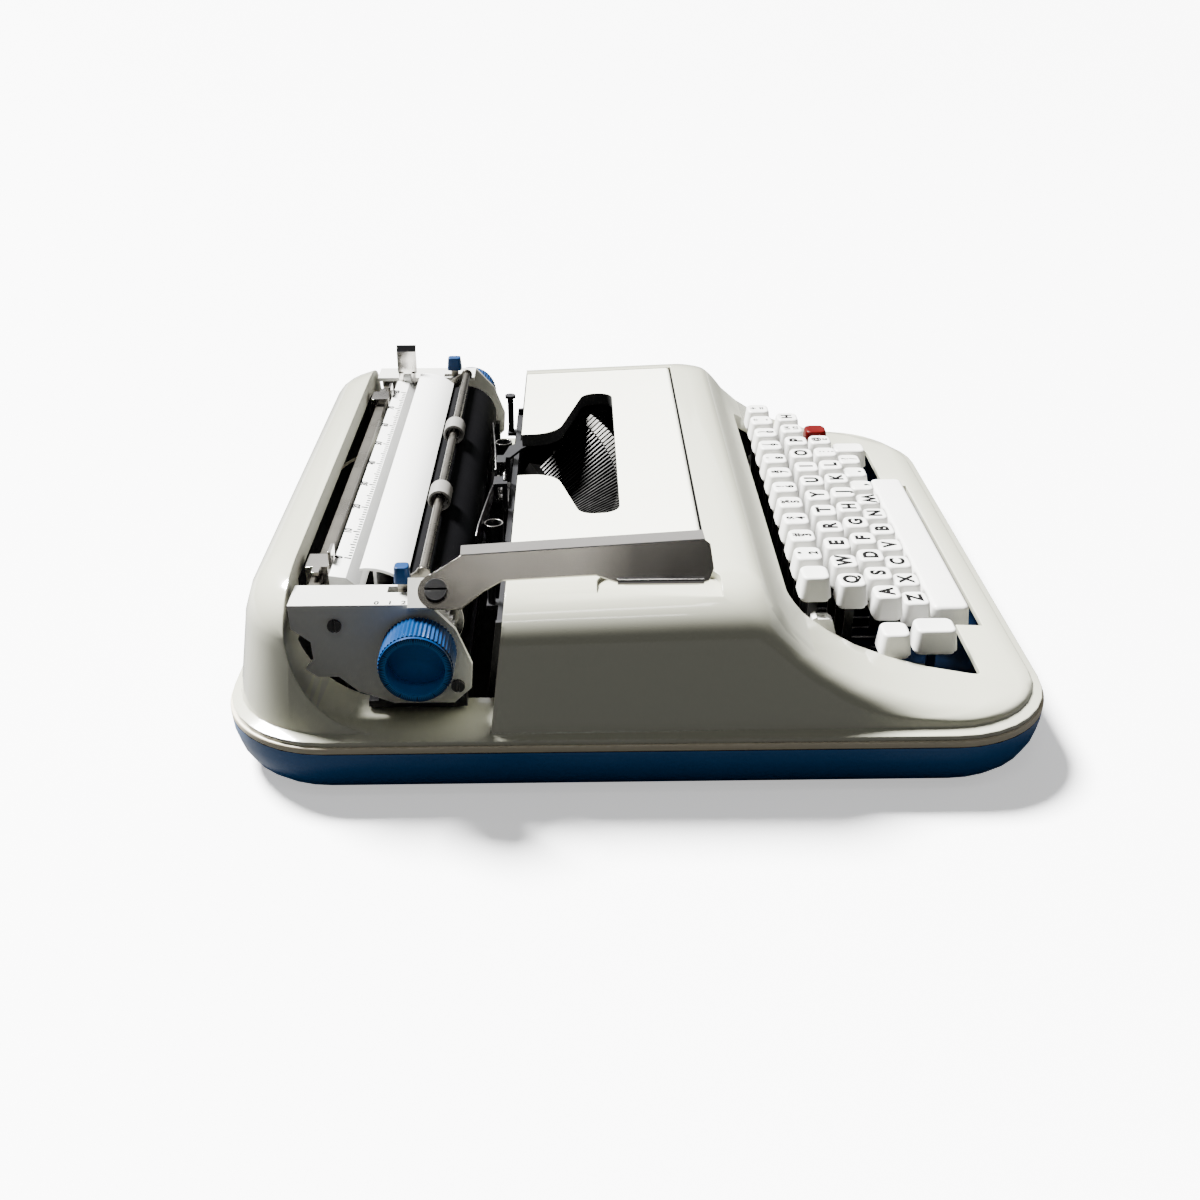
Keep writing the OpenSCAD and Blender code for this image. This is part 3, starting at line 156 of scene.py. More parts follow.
class TypewriterSizes(bpy.types.PropertyGroup):
    """Sizes of what the dressing adds to the frame"""
    key_pitch: length("Key pitch", "Distance between neighbouring keys", 18.0)
    cap_corner: length("Cap corner", "Plan corner radius of a key cap", 3.2)
    cap_rim: length("Cap rim", "Rounding of a key cap's upper edge", 1.1)
    cap_taper: length("Cap taper", "How far a cap's side leans in", 1.1)
    cap_dish: length("Cap dish", "Depth of the finger dish in a cap", 0.1)
    skirt_in: length("Skirt inset", "How far the skirt under a cap stands in", 1.0)
    skirt_h: length("Skirt height", "Height of the skirt under a cap", 1.6)
    letter: length("Letter", "Type size of a single sign on a key", 9.0)
    pair_letter: length("Paired signs", "Type size of signs that share a key", 5.4)
    tick_step: length("Tick step", "Distance between scale marks", 2.54)
    tick_w: length("Tick width", "Width of a scale mark", 1.0)
    digit: length("Scale digits", "Type size of the scale's numbers", 4.4)


class TypewriterStage(bpy.types.PropertyGroup):
    """Floor, light and camera"""
    floor: paint("Floor", "Colour of the floor", (0.93, 0.93, 0.93))
    lens: amount("Lens", "Focal length of the camera in millimetres", 40.5, 10.0)
    overhead: amount("Overhead", "Strength of the wide light above", 40.0)
    strip: amount("Strip", "Power of the upper window light, twice the lower's", 1.0,
                  subtype="POWER", unit="POWER")
    fill: amount("Fill", "Power of the front light, two thirds of the right one's", 2.0,
                 subtype="POWER", unit="POWER")
    sky: amount("Sky", "Strength of the even white surround", 0.055)


def sizes():
    return bpy.context.scene.typewriter_sizes


# Selecting and shaping

def only(*objects):
    """Leaves just these objects selected, the first of them active."""
    if bpy.context.object and bpy.context.object.mode != "OBJECT":
        bpy.ops.object.mode_set(mode="OBJECT")
    bpy.ops.object.select_all(action="DESELECT")
    for obj in objects:
        obj.select_set(True)
    bpy.context.view_layer.objects.active = objects[0] if objects else None


def edit(obj, kind, test):
    """Opens obj in edit mode with just the faces or edges that pass the test selected."""
    only(obj)
    bpy.ops.object.mode_set(mode="EDIT")
    bpy.ops.mesh.select_mode(type=kind)
    bpy.ops.mesh.select_all(action="DESELECT")
    mesh = bmesh.from_edit_mesh(obj.data)
    for part in (mesh.faces if kind == "FACE" else mesh.edges):
        if test(part):
            part.select_set(True)
    bmesh.update_edit_mesh(obj.data)


def edit_all(piece):
    """Opens the piece in edit mode with everything selected."""
    only(piece)
    bpy.ops.object.mode_set(mode="EDIT")
    bpy.ops.mesh.select_all(action="SELECT")


def done():
    bpy.ops.object.mode_set(mode="OBJECT")


def in_scene(name, data):
    """A new object with this data, linked to the scene."""
    obj = bpy.data.objects.new(name, data)
    bpy.context.scene.collection.objects.link(obj)
    return obj


def new_piece(name):
    """Names the object just added."""
    piece = bpy.context.object
    piece.name = name
    piece.data.name = name
    return piece


def put(thing, **values):
    """Sets several values of a thing."""
    for key, value in values.items():
        setattr(thing, key, value)
    return thing


def modify(piece, label, kind, **values):
    """Adds a modifier to the piece and applies it."""
    only(piece)
    modifier = put(piece.modifiers.new(label, kind), **values)
    bpy.ops.object.modifier_apply(modifier=modifier.name)
    return piece


def bevel_all(piece, width, segments=2, angle=30.0):
    """Rounds every edge sharper than the angle."""
    modify(piece, "Round edges", "BEVEL", width=width, segments=segments, limit_method="ANGLE",
           angle_limit=math.radians(angle), miter_outer="MITER_ARC")


def smooth(piece, angle=35.0):
    only(piece)
    bpy.ops.object.shade_smooth_by_angle(angle=math.radians(angle))


def keep_flats(piece):
    """Shades flat faces as flat, so that only the rounded edges between them turn the light."""
    modify(piece, "Weighted normals", "WEIGHTED_NORMAL", keep_sharp=True, weight=100)


def extrude(*step):
    """Extrudes the selected faces or edges by a step."""
    bpy.ops.mesh.extrude_region_move(TRANSFORM_OT_translate={"value": step})


def join(pieces, name):
    """Joins pieces into one object called name."""
    only(*pieces)
    bpy.ops.object.join()
    return new_piece(name)


def dress(piece, *finishes):
    """Gives the piece these finishes, the first of them on all its faces."""
    piece.data.materials.clear()
    for finish in finishes:
        piece.data.materials.append(bpy.data.materials[finish])
    return piece


def accent(piece, finish, test):
    """Gives the faces that pass the test another finish."""
    piece.data.materials.append(bpy.data.materials[finish])
    index = len(piece.data.materials) - 1
    for face in piece.data.polygons:
        if test(face):
            face.material_index = index


def settle(piece, body, stands_for=()):
    """Bakes the piece's place into its mesh and hands it to its body."""
    only(piece)
    bpy.ops.object.transform_apply(location=True, rotation=True, scale=True)
    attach(piece, body)
    if stands_for:
        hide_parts(*stands_for)
    return piece


def spots(node):
    """Places of a CAD node's vertices."""
    return [v.co.copy() for v in frame["nodes"][node].data.vertices]


def merged_copy(node, name, flatten=True):
    """A copy of a CAD node's mesh with its loose triangles merged to clean faces."""
    mesh = frame["nodes"][node].data.copy()
    piece = in_scene(name, mesh)
    only(piece)
    if mesh.has_custom_normals:
        bpy.ops.mesh.customdata_custom_splitnormals_clear()
    edit_all(piece)
    bpy.ops.mesh.remove_doubles(threshold=HAIR)
    if flatten:
        bpy.ops.mesh.dissolve_limited(angle_limit=math.radians(0.6))
    done()
    return piece


def rounded_node(node, slot, width, segments=2, angle=30.0, flatten=True, finish=None):
    """Replaces a CAD node by a copy with its edges rounded, by a width in millimetres."""
    piece = merged_copy(node, node + "_dressed", flatten)
    bevel_all(piece, width * MM, segments, angle)
    smooth(piece)
    keep_flats(piece)
    dress(piece, finish or FINISH_OF[slot])
    return settle(piece, BODY_OF[node], (node,))


def cube(name, middle, wide, tilt=0.0):
    """A plain block, tilted about X."""
    only()
    bpy.ops.mesh.primitive_cube_add(size=1.0, location=middle, rotation=(tilt, 0.0, 0.0), scale=wide)
    piece = new_piece(name)
    bpy.ops.object.transform_apply(location=True, rotation=True, scale=True)
    return piece


def repeat(piece, step, count):
    """Repeats the piece along X."""
    return modify(piece, "Row", "ARRAY", use_relative_offset=False, use_constant_offset=True,
                  constant_offset_displace=(step, 0.0, 0.0), count=count)


# Node groups that several finishes share

SOCKETS = {1: "NodeSocketFloat", 3: "NodeSocketVector", 4: "NodeSocketColor"}


def group_of(name, inputs, outputs):
    """A node group with inputs at these values, outputs of these widths, and its inner ends."""
    tree = bpy.data.node_groups.new(name, "ShaderNodeTree")
    for label, value in inputs.items():
        kind = SOCKETS[len(value) if isinstance(value, tuple) else 1]
        socket = tree.interface.new_socket(name=label, in_out="INPUT", socket_type=kind)
        socket.default_value = value
    for label, wide in outputs.items():
        tree.interface.new_socket(name=label, in_out="OUTPUT", socket_type=SOCKETS[wide])
    return tree, tree.nodes.new("NodeGroupInput").outputs, tree.nodes.new("NodeGroupOutput").inputs


def feed(tree, node, inputs):
    """Links or fills the inputs of a node."""
    for key, value in inputs.items():
        if isinstance(value, bpy.types.NodeSocket):
            tree.links.new(value, node.inputs[key])
        else:
            node.inputs[key].default_value = value


def add(tree, kind, inputs=None, **settings):
    """Adds a node, sets it and feeds it."""
    node = put(tree.nodes.new(kind), **settings)
    feed(tree, node, inputs or {})
    return node


def times(tree, a, b):
    return add(tree, "ShaderNodeMath", {0: a, 1: b}, operation="MULTIPLY", use_clamp=True).outputs[0]


def remap(tree, value, low, high, to_low=0.0, to_high=1.0):
    return add(tree, "ShaderNodeMapRange", {"Value": value, "From Min": low, "From Max": high,
                                            "To Min": to_low, "To Max": to_high}).outputs[0]


def mixed(tree, factor, a, b):
    return add(tree, "ShaderNodeMix", {0: factor, 6: a, 7: b}, data_type="RGBA").outputs[2]


def object_noise(tree, scale, detail=4.0, roughness=0.6, stretch=None):
    place = add(tree, "ShaderNodeTexCoord").outputs["Object"]
    if stretch:
        place = add(tree, "ShaderNodeVectorMath", {0: place, 1: stretch},
                    operation="MULTIPLY").outputs[0]
    return add(tree, "ShaderNodeTexNoise", {"Vector": place, "Scale": scale, "Detail": detail,
                                            "Roughness": roughness}).outputs["Fac"]


def build_worn_edges():
    """Mask of rubbed edges, broken up by patches."""
    tree, given, out = group_of(
        "Worn Edges", {"Width": 0.0006, "Patch Scale": 90.0, "Amount": 0.5}, {"Mask": 1})
    rounded = add(tree, "ShaderNodeBevel", {"Radius": given["Width"]}, samples=4).outputs[0]
    flat = add(tree, "ShaderNodeNewGeometry").outputs["Normal"]
    turned = add(tree, "ShaderNodeVectorMath", {0: rounded, 1: flat},
                 operation="DOT_PRODUCT").outputs["Value"]
    rim = remap(tree, turned, 0.997, 0.93)
    patches = remap(tree, object_noise(tree, given["Patch Scale"], 5.0, 0.7), 0.42, 0.64)
    mask = times(tree, times(tree, rim, patches), given["Amount"])
    tree.links.new(mask, out["Mask"])


def build_paint_mottle():
    """Slow change of tone over a painted or moulded surface."""
    tree, given, out = group_of(
        "Paint Mottle", {"Color": (*WHITE, 1.0), "Scale": 30.0, "Strength": 0.04},
        {"Color": 4, "Value": 1})
    clouds = object_noise(tree, given["Scale"], 6.0, 0.62)
    spread = add(tree, "ShaderNodeMath", {0: clouds, 1: 0.5}, operation="SUBTRACT").outputs[0]
    change = add(tree, "ShaderNodeMath", {0: spread, 1: given["Strength"], 2: 1.0},
                 operation="MULTIPLY_ADD").outputs[0]
    tone = add(tree, "ShaderNodeVectorMath", {0: given["Color"], "Scale": change},
               operation="SCALE").outputs[0]
    tree.links.new(tone, out["Color"])
    tree.links.new(clouds, out["Value"])


def build_fine_grain():
    """Height of a moulded, brushed or cast grain, stretched along an axis."""
    tree, given, out = group_of(
        "Fine Grain", {"Scale": 800.0, "Stretch": WHITE}, {"Height": 1})
    tree.links.new(object_noise(tree, given["Scale"], 3.0, 0.55, given["Stretch"]), out["Height"])


def build_settled_dust():
    """Colour greyed at corners and seams by dust and by painted shade from ambient occlusion."""
    tree, given, out = group_of(
        "Dust And Corner Shade", {"Color": (*WHITE, 1.0), "Dust": (*DUST_AND_SHADE, 1.0), "Reach": 0.004,
                         "Amount": 0.4}, {"Color": 4})
    # Ambient occlusion picks the corners and seams, so this darkening is painted shade as well as dust
    unoccluded = add(tree, "ShaderNodeAmbientOcclusion", {"Distance": given["Reach"]},
                      samples=4).outputs["AO"]
    corners = remap(tree, unoccluded, 0.75, 0.2)
    patches = remap(tree, object_noise(tree, 160.0, 5.0, 0.7), 0.3, 0.7, 0.35, 1.0)
    mask = times(tree, times(tree, corners, patches), given["Amount"])
    tree.links.new(mixed(tree, mask, given["Color"], given["Dust"]), out["Color"])


def placed(tree, group, inputs):
    """Outputs of a shared node group with these inputs."""
    return add(tree, "ShaderNodeGroup", inputs, node_tree=bpy.data.node_groups[group]).outputs


def make_finish(name, colour, rough, metal=0.0, coat=0.0, coat_rough=0.08, specular=0.5,
                mottle=(30.0, 0.06), vary=0.06, grain=(900.0, 0.004), stretch=WHITE,
                wear=None, worn=BARE_METAL, worn_metal=1.0, dust=None, soften=0.0, shade_fade=None):
    """Builds one finish: mottled colour, uneven gloss, grain, rubbed edges, and dust with painted corner shade.

    mottle is scale and strength, grain is scale and depth in millimetres, wear is width, patch scale
    and amount, the dust setting is reach and amount of dust with painted corner shade, and the fade setting is two
    places along Y and the painted shade colour at the second.
    """
    material = bpy.data.materials.new(name)
    material.use_nodes = True
    material.diffuse_color = (*colour, 1.0)
    tree = material.node_tree
    tree.nodes.clear()
    base = placed(tree, "Paint Mottle", {"Color": (*colour, 1.0), "Scale": mottle[0],
                                         "Strength": mottle[1]})
    tone = base["Color"]
    gloss = remap(tree, base["Value"], 0.25, 0.75, max(0.02, rough - vary), rough + vary)
    # Colour darkening along Y to a given tone: painted shade
    if shade_fade:
        place = add(tree, "ShaderNodeTexCoord").outputs["Object"]
        along = add(tree, "ShaderNodeSeparateXYZ", {0: place}).outputs["Y"]
        tone = mixed(tree, remap(tree, along, shade_fade[0], shade_fade[1]), tone, (*shade_fade[2], 1.0))
    # Dust and painted shade at corners and seams
    if dust:
        tone = placed(tree, "Dust And Corner Shade", {"Color": tone, "Reach": dust[0],
                                             "Amount": dust[1]})["Color"]
    if wear:
        rub = placed(tree, "Worn Edges", {"Width": wear[0], "Patch Scale": wear[1],
                                          "Amount": wear[2]})["Mask"]
        tone = mixed(tree, rub, tone, (*worn, 1.0))
        if worn_metal != metal:
            metal = remap(tree, rub, 0.0, 1.0, metal, worn_metal)
    height = placed(tree, "Fine Grain", {"Scale": grain[0], "Stretch": stretch})["Height"]
    relief = {"Strength": 0.35, "Distance": grain[1] * MM, "Height": height}
    if soften:
        relief["Normal"] = add(tree, "ShaderNodeBevel", {"Radius": soften * MM}, samples=6).outputs[0]
    shader = add(tree, "ShaderNodeBsdfPrincipled", {
        "Base Color": tone, "Metallic": metal, "Roughness": gloss, "Specular IOR Level": specular,
        "Normal": add(tree, "ShaderNodeBump", relief).outputs[0], "Coat Weight": coat,
        "Coat Roughness": coat_rough})
    add(tree, "ShaderNodeOutputMaterial", {"Surface": shader.outputs[0]})


def make_finishes(p):
    """All finishes, in the colours of the paints p."""
    long_x = (0.04, 1.0, 1.0)
    long_y = (1.0, 0.06, 1.0)
    make_finish("Tub Blue Paint", p.tub, 0.36, coat=0.25, coat_rough=0.2, mottle=(14.0, 0.16),
                grain=(420.0, 0.02), wear=(0.0010, 70.0, 0.35), worn=(0.10, 0.20, 0.36),
                worn_metal=0.0, dust=(0.006, 0.3))
    make_finish("Rim Beige Plastic", p.rim, 0.34, mottle=(40.0, 0.12), grain=(700.0, 0.006),
                dust=(0.004, 0.6))
    make_finish("Body Cream Gloss", p.shell, 0.14, coat=0.8, coat_rough=0.03,
                mottle=(9.0, 0.05), vary=0.05, grain=(260.0, 0.010), dust=(0.004, 0.45),
                soften=0.9)
    # Darker copy of the shell cream: painted shade on the slope behind the keys
    make_finish("Lip Satin Shade", p.lip, 0.6, mottle=(9.0, 0.05), grain=(260.0, 0.010),
                dust=(0.004, 0.45), specular=0.1)
    make_finish("Cover Cream Gloss", p.cover, 0.30, coat=0.15, coat_rough=0.12,
                mottle=(12.0, 0.05), grain=(520.0, 0.012), dust=(0.003, 0.5))
    make_finish("Key White Plastic", p.keys, 0.33, mottle=(60.0, 0.06), grain=(900.0, 0.008),
                dust=(0.003, 0.45), specular=0.25)
    make_finish("Tab Red Plastic", p.tab, 0.36, mottle=(60.0, 0.1), grain=(900.0, 0.008),
                dust=(0.002, 0.15), specular=0.05)
    make_finish("Knob Blue Plastic", p.knobs, 0.36, mottle=(50.0, 0.14), specular=0.12,
                grain=(900.0, 0.01), wear=(0.0006, 160.0, 0.3), worn=(0.003, 0.045, 0.15),
                worn_metal=0.0)
    # Lighter copy of the knob blue: painted light in the knob's hollow
    make_finish("Knob Cup Light Blue", p.knob_cup, 0.5, mottle=(50.0, 0.14), specular=0.1,
                grain=(900.0, 0.01))
    make_finish("End Plate Grey", p.plates, 0.38, mottle=(24.0, 0.08), grain=(650.0, 0.02),
                wear=(0.0007, 120.0, 0.55), dust=(0.003, 0.5))
    make_finish("Scale White Enamel", p.scale, 0.24, coat=0.25, mottle=(22.0, 0.06),
                grain=(700.0, 0.006), wear=(0.0005, 120.0, 0.35), dust=(0.003, 0.5))
    # Grey for the white bar's front face: painted shade
    make_finish("Scale Front Shade", (0.30, 0.30, 0.29), 0.35, mottle=(24.0, 0.1),
                grain=(700.0, 0.01), dust=(0.003, 0.4))
    make_finish("Works Black Enamel", p.works, 0.38, mottle=(40.0, 0.3), grain=(420.0, 0.03),
                wear=(0.0005, 150.0, 0.35), worn=(0.10, 0.097, 0.094), specular=0.15)
    make_finish("Oiled Dark Steel", (0.045, 0.044, 0.043), 0.34, metal=1.0, mottle=(60.0, 0.5),
                vary=0.1, grain=(300.0, 0.012), wear=(0.0003, 220.0, 0.6),
                worn=(0.50, 0.49, 0.47))
    make_finish("Typebar Black Steel", (0.014, 0.014, 0.014), 0.42, metal=1.0,
                mottle=(120.0, 0.5), vary=0.08, grain=(300.0, 0.012))
    make_finish("Bright Steel", (0.50, 0.49, 0.47), 0.26, metal=1.0, mottle=(45.0, 0.22),
                vary=0.09, grain=(420.0, 0.010), stretch=long_x, wear=(0.0004, 160.0, 0.5),
                worn=(0.72, 0.71, 0.69))
    make_finish("Polished Plating", (0.52, 0.50, 0.47), 0.15, metal=1.0, mottle=(30.0, 0.12),
                grain=(500.0, 0.004), stretch=long_y)
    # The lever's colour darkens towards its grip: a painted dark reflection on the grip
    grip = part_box("return_lever")[0].y
    make_finish("Lever Plating Grip Shade", (0.25, 0.232, 0.20), 0.22, metal=1.0,
                mottle=(30.0, 0.12), grain=(500.0, 0.006), stretch=long_y,
                shade_fade=(grip + 54.0 * MM, grip + 30.0 * MM, (0.07, 0.066, 0.058)))
    make_finish("Platen Charcoal Rubber", p.rubber, 0.7, mottle=(60.0, 0.5), vary=0.08,
                grain=(1400.0, 0.02), specular=0.02)
    make_finish("Foot Black Rubber", (0.02, 0.02, 0.02), 0.75, mottle=(80.0, 0.4),
                grain=(1100.0, 0.04), specular=0.3)
    make_finish("Roller Grey Rubber", p.rollers, 0.6, mottle=(1500.0, 0.9), vary=0.1,
                grain=(1500.0, 0.06), specular=0.3)
    make_finish("Bell Brass", (0.55, 0.42, 0.19), 0.3, metal=1.0, mottle=(40.0, 0.3),
                grain=(300.0, 0.01), stretch=(1.0, 1.0, 0.1))
    # Near black for the shell's faces under its own shell: painted shade
    make_finish("Body Dark Inside", (0.012, 0.012, 0.011), 0.7, mottle=(40.0, 0.3),
                grain=(500.0, 0.02), specular=0.2)
    # Darker copy of the tub blue: painted shade under the keys
    make_finish("Tub Inside Shade Blue", p.tub_inside, 0.5, mottle=(40.0, 0.3),
                grain=(420.0, 0.02), specular=0.1)
    make_finish("Tub Black Felt", (0.006, 0.006, 0.006), 0.95, mottle=(300.0, 0.5),
                grain=(900.0, 0.2), specular=0.1)
    make_finish("Type Slug Steel", (0.022, 0.0215, 0.02), 0.45, metal=1.0, mottle=(300.0, 0.5),
                vary=0.1, grain=(600.0, 0.03))
    # Slightly lighter steel on the bars' upward faces: painted highlight
    make_finish("Typebar Top Highlight", (0.022, 0.0215, 0.021), 0.42, metal=1.0,
                mottle=(200.0, 0.5), vary=0.1, grain=(600.0, 0.02))
    # Dark grey for the cream cover's window wall: painted shade
    make_finish("Window Wall Shade", (0.035, 0.035, 0.034), 0.5, mottle=(60.0, 0.2),
                grain=(600.0, 0.01), specular=0.15)
    make_finish("Blackened Screw", (0.05, 0.05, 0.05), 0.32, metal=1.0, mottle=(90.0, 0.4),
                grain=(500.0, 0.01), wear=(0.0004, 200.0, 0.7), worn=(0.4, 0.39, 0.37))
    make_finish("Bail Warm Steel", (0.15, 0.14, 0.12), 0.28, metal=1.0, mottle=(60.0, 0.1),
                vary=0.04, grain=(500.0, 0.012), stretch=long_x)
    make_finish("Sign Black Ink", p.signs, 0.6, mottle=(200.0, 0.4), specular=0.02)


class TYPEWRITER_OT_finishes(bpy.types.Operator):
    """Builds the finishes and gives each CAD node its own"""
    bl_idname = "typewriter.finishes"
    bl_label = "Paint and Plating"

    def execute(self, context):
        build_worn_edges()
        build_paint_mottle()
        build_fine_grain()
        build_settled_dust()
        make_finishes(context.scene.typewriter_paints)
        for node in frame["nodes"].values():
            for place in node.material_slots:
                slot = place.material.name.split(".")[0]
                place.material = bpy.data.materials[FINISH_OF[slot]]
        return {"FINISHED"}


class TYPEWRITER_OT_body(bpy.types.Operator):
    """Smooths the shell and tub and rounds the rim bead and ribbon cover"""
    bl_idname = "typewriter.body"
    bl_label = "Shell, Tub and Cover"

    def execute(self, context):
        rounded_node("rim_bead", "rim_beige", 0.7, 3)
        self.cover()
        rounded_node("rubber_feet", "foot_rubber", 0.4)
        self.shell()
        self.tub()
        return {"FINISHED"}

    def cover(self):
        """Cream cover; the wall hanging from its window is painted dark as shade."""
        piece = rounded_node("ribbon_cover", "cover_cream", 0.45)
        lo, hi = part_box("ribbon_cover")
        edge = 8.0 * MM

        def in_window(face):
            at = face.center
            inside = lo.x + edge < at.x < hi.x - edge and at.y > lo.y + edge
            return inside and face.normal.z < TURNED

        # The window wall is painted dark: painted shade
        accent(piece, "Window Wall Shade", in_window)

    def shell(self):
        """Cream outside, with painted shade: near black where shell lies right above, and a darker satin cream on
        the slope behind the keys.
        """
        piece = merged_copy("body_shell", "body_shell_dressed")
        smooth(piece, 34.0)
        dress(piece, "Body Cream Gloss")
        mesh = piece.data
        roof = BVHTree.FromPolygons([v.co for v in mesh.vertices],
                                    [f.vertices for f in mesh.polygons])
        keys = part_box("number_row_caps")[1]
        side = keys.x + 40.0 * MM

        def roofed(face):
            start = face.center + face.normal * 0.05 * MM
            return roof.ray_cast(start, UP)[0] is not None

        def behind_keys(face):
            at = face.center
            near_keys = at.y > keys.y and abs(at.x) < side
            return near_keys and face.normal.y < -TURNED and face.material_index == 0

        # Near black on faces with shell right above them: painted shade
        accent(piece, "Body Dark Inside", roofed)
        # The slope behind the keys gets a darker cream: painted shade
        accent(piece, "Lip Satin Shade", behind_keys)
        settle(piece, "base", ("body_shell",))

    def tub(self):
        """Blue outside, a darker blue as painted shade under the keys, black felt behind the comb."""
        piece = merged_copy("base_tub", "base_tub_dressed")
        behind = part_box("key_comb")[0].y
        floor = 4.0 * MM
        edit_all(piece)
        bpy.ops.mesh.bisect(plane_co=(0.0, behind, 0.0), plane_no=(0.0, 1.0, 0.0))
        done()
        smooth(piece, 40.0)
        dress(piece, "Tub Blue Paint")

        def inside(face):
            outward = Vector((face.center.x, face.center.y, 0.0))
            turned_in = face.normal.z > TURNED or face.normal.dot(outward) < 0.0
            return turned_in and face.center.z > floor

        accent(piece, "Tub Black Felt", lambda f: inside(f) and f.center.y > behind)
        # Darker blue on the inner faces under the keys: painted shade
        accent(piece, "Tub Inside Shade Blue", lambda f: inside(f) and f.center.y <= behind)
        settle(piece, "base", ("base_tub",))


# Keys

def block(name, lo, hi, taper, rim, rim_steps):
    """A block between two corners that leans in to its top, with round corners and a round rim."""
    wide = hi - lo
    piece = cube(name, (lo + hi) / 2, wide)
    edit(piece, "FACE", lambda f: f.normal.z > SQUARE)
    bpy.ops.transform.resize(value=(1.0 - 2 * taper / wide.x, 1.0 - 2 * taper / wide.y, 1.0))
    done()
    edit(piece, "EDGE", lambda e: abs(e.verts[0].co.z - e.verts[1].co.z) > wide.z / 2)
    bpy.ops.mesh.bevel(offset=sizes().cap_corner, segments=5, affect="EDGES")
    done()
    edit(piece, "EDGE", lambda e: all(v.co.z > hi.z - NEAR for v in e.verts))
    bpy.ops.mesh.bevel(offset=rim, segments=rim_steps, affect="EDGES")
    done()
    return piece


def cap_shape(name, lo, hi):
    """One key cap between two corners, with a dish and a recessed skirt."""
    s = sizes()
    low = lo.z + s.skirt_h
    cap = block(name, Vector((lo.x, lo.y, low)), hi, s.cap_taper, s.cap_rim, 4)
    dish = max((f for f in cap.data.polygons if f.normal.z > 0.99), key=lambda f: f.area).index
    edit(cap, "FACE", lambda f: f.index == dish)
    bpy.ops.mesh.inset(thickness=0.6 * MM)
    bpy.ops.transform.translate(value=(0.0, 0.0, -s.cap_dish))
    done()
    edit(cap, "FACE", lambda f: f.normal.z < -SQUARE and f.calc_center_median().z < low + NEAR)
    bpy.ops.mesh.inset(thickness=s.skirt_in)
    extrude(0.0, 0.0, -s.skirt_h)
    done()
    smooth(cap, 30.0)
    return cap


def cap_box(node, tall):
    """Corners of the cap in a single key's node, which also holds the key's lever."""
    top = max(spot.z for spot in spots(node))
    x, y, _ = zip(*(spot for spot in spots(node) if spot.z > top - CAP_ZONE))
    return Vector((min(x), min(y), top - tall)), Vector((max(x), max(y), top))


def lever_below(node, name, level):
    """The part of a single key's CAD node that lies under its cap."""
    stem = merged_copy(node, name)
    edit_all(stem)
    bpy.ops.mesh.bisect(plane_co=(0.0, 0.0, level), plane_no=UP, use_fill=True, clear_outer=True)
    done()
    smooth(stem)
    return dress(stem, "Oiled Dark Steel")


class TYPEWRITER_OT_keys(bpy.types.Operator):
    """Models the key caps and the space bar over their levers"""
    bl_idname = "typewriter.keys"
    bl_label = "Keys"

    def execute(self, context):
        for row, signs in KEY_ROWS:
            self.row(row, len(signs))
        for node in SINGLE_KEYS:
            self.single(node)
        self.space_bar()
        return {"FINISHED"}

    def row(self, row, count):
        """Like caps side by side."""
        node = row + "_caps"
        step = sizes().key_pitch
        lo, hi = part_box(node)
        cap = cap_shape(node + "_dressed", lo, Vector((hi.x - step * (count - 1), hi.y, hi.z)))
        caps = repeat(dress(cap, "Key White Plastic"), step, count)
        settle(caps, row, (node,))

    def single(self, node):
        """Cap on its own lever."""
        row_lo, row_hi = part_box("top_row_caps")
        lo, hi = cap_box(node, row_hi.z - row_lo.z)
        red = node == "tab_key"
        cap = dress(cap_shape(node + "_cap", lo, hi),
                    "Tab Red Plastic" if red else "Key White Plastic")
        stem = lever_below(node, node + "_stem", lo.z - HAIR)
        key = join([cap, stem], node + "_dressed")
        settle(key, BODY_OF[node], (node,))

    def space_bar(self):
        """Long bar with rounded edges on its two arms."""
        tall = 9.0 * MM
        lean = 0.8 * MM
        rim = 1.8 * MM
        lo, hi = cap_box("space_bar", tall)
        top = [spot.y for spot in spots("space_bar") if spot.z > hi.z - NEAR]
        lo.y = min(top) - lean
        hi.y = max(top) + lean
        piece = block("space_bar_cap", lo, hi, lean, rim, 5)
        smooth(piece, 30.0)
        dress(piece, "Key White Plastic")
        arms = lever_below("space_bar", "space_bar_arms", lo.z - HAIR)
        settle(join([piece, arms], "space_bar_dressed"), "space", ("space_bar",))


# Letters and marks

def sign(text, size, place, name, turn=0.0, tilt=0.0, thick=SIGN_THICK, bold=SIGN_BOLD):
    """A flat sign, a hair thick, as a mesh centred on place."""
    only()
    bpy.ops.object.text_add(location=place, rotation=(tilt, 0.0, turn))
    words = bpy.context.object
    put(words.data, body=text, size=size, align_x="CENTER", align_y="CENTER", extrude=thick / 2,
        offset=bold * size, resolution_u=4)
    bpy.ops.object.convert(target="MESH")
    piece = new_piece(name)
    bpy.ops.object.transform_apply(location=True, rotation=True, scale=True)
    return piece


def key_sign(text, size, place, name, turn=0.0, bold=LETTER_BOLD):
    """A sign that fills the dish of a key whose top is at place."""
    dish = sizes().cap_dish
    return sign(text, size, place - UP * dish / 2, name, turn=turn, thick=dish + NEAR, bold=bold)


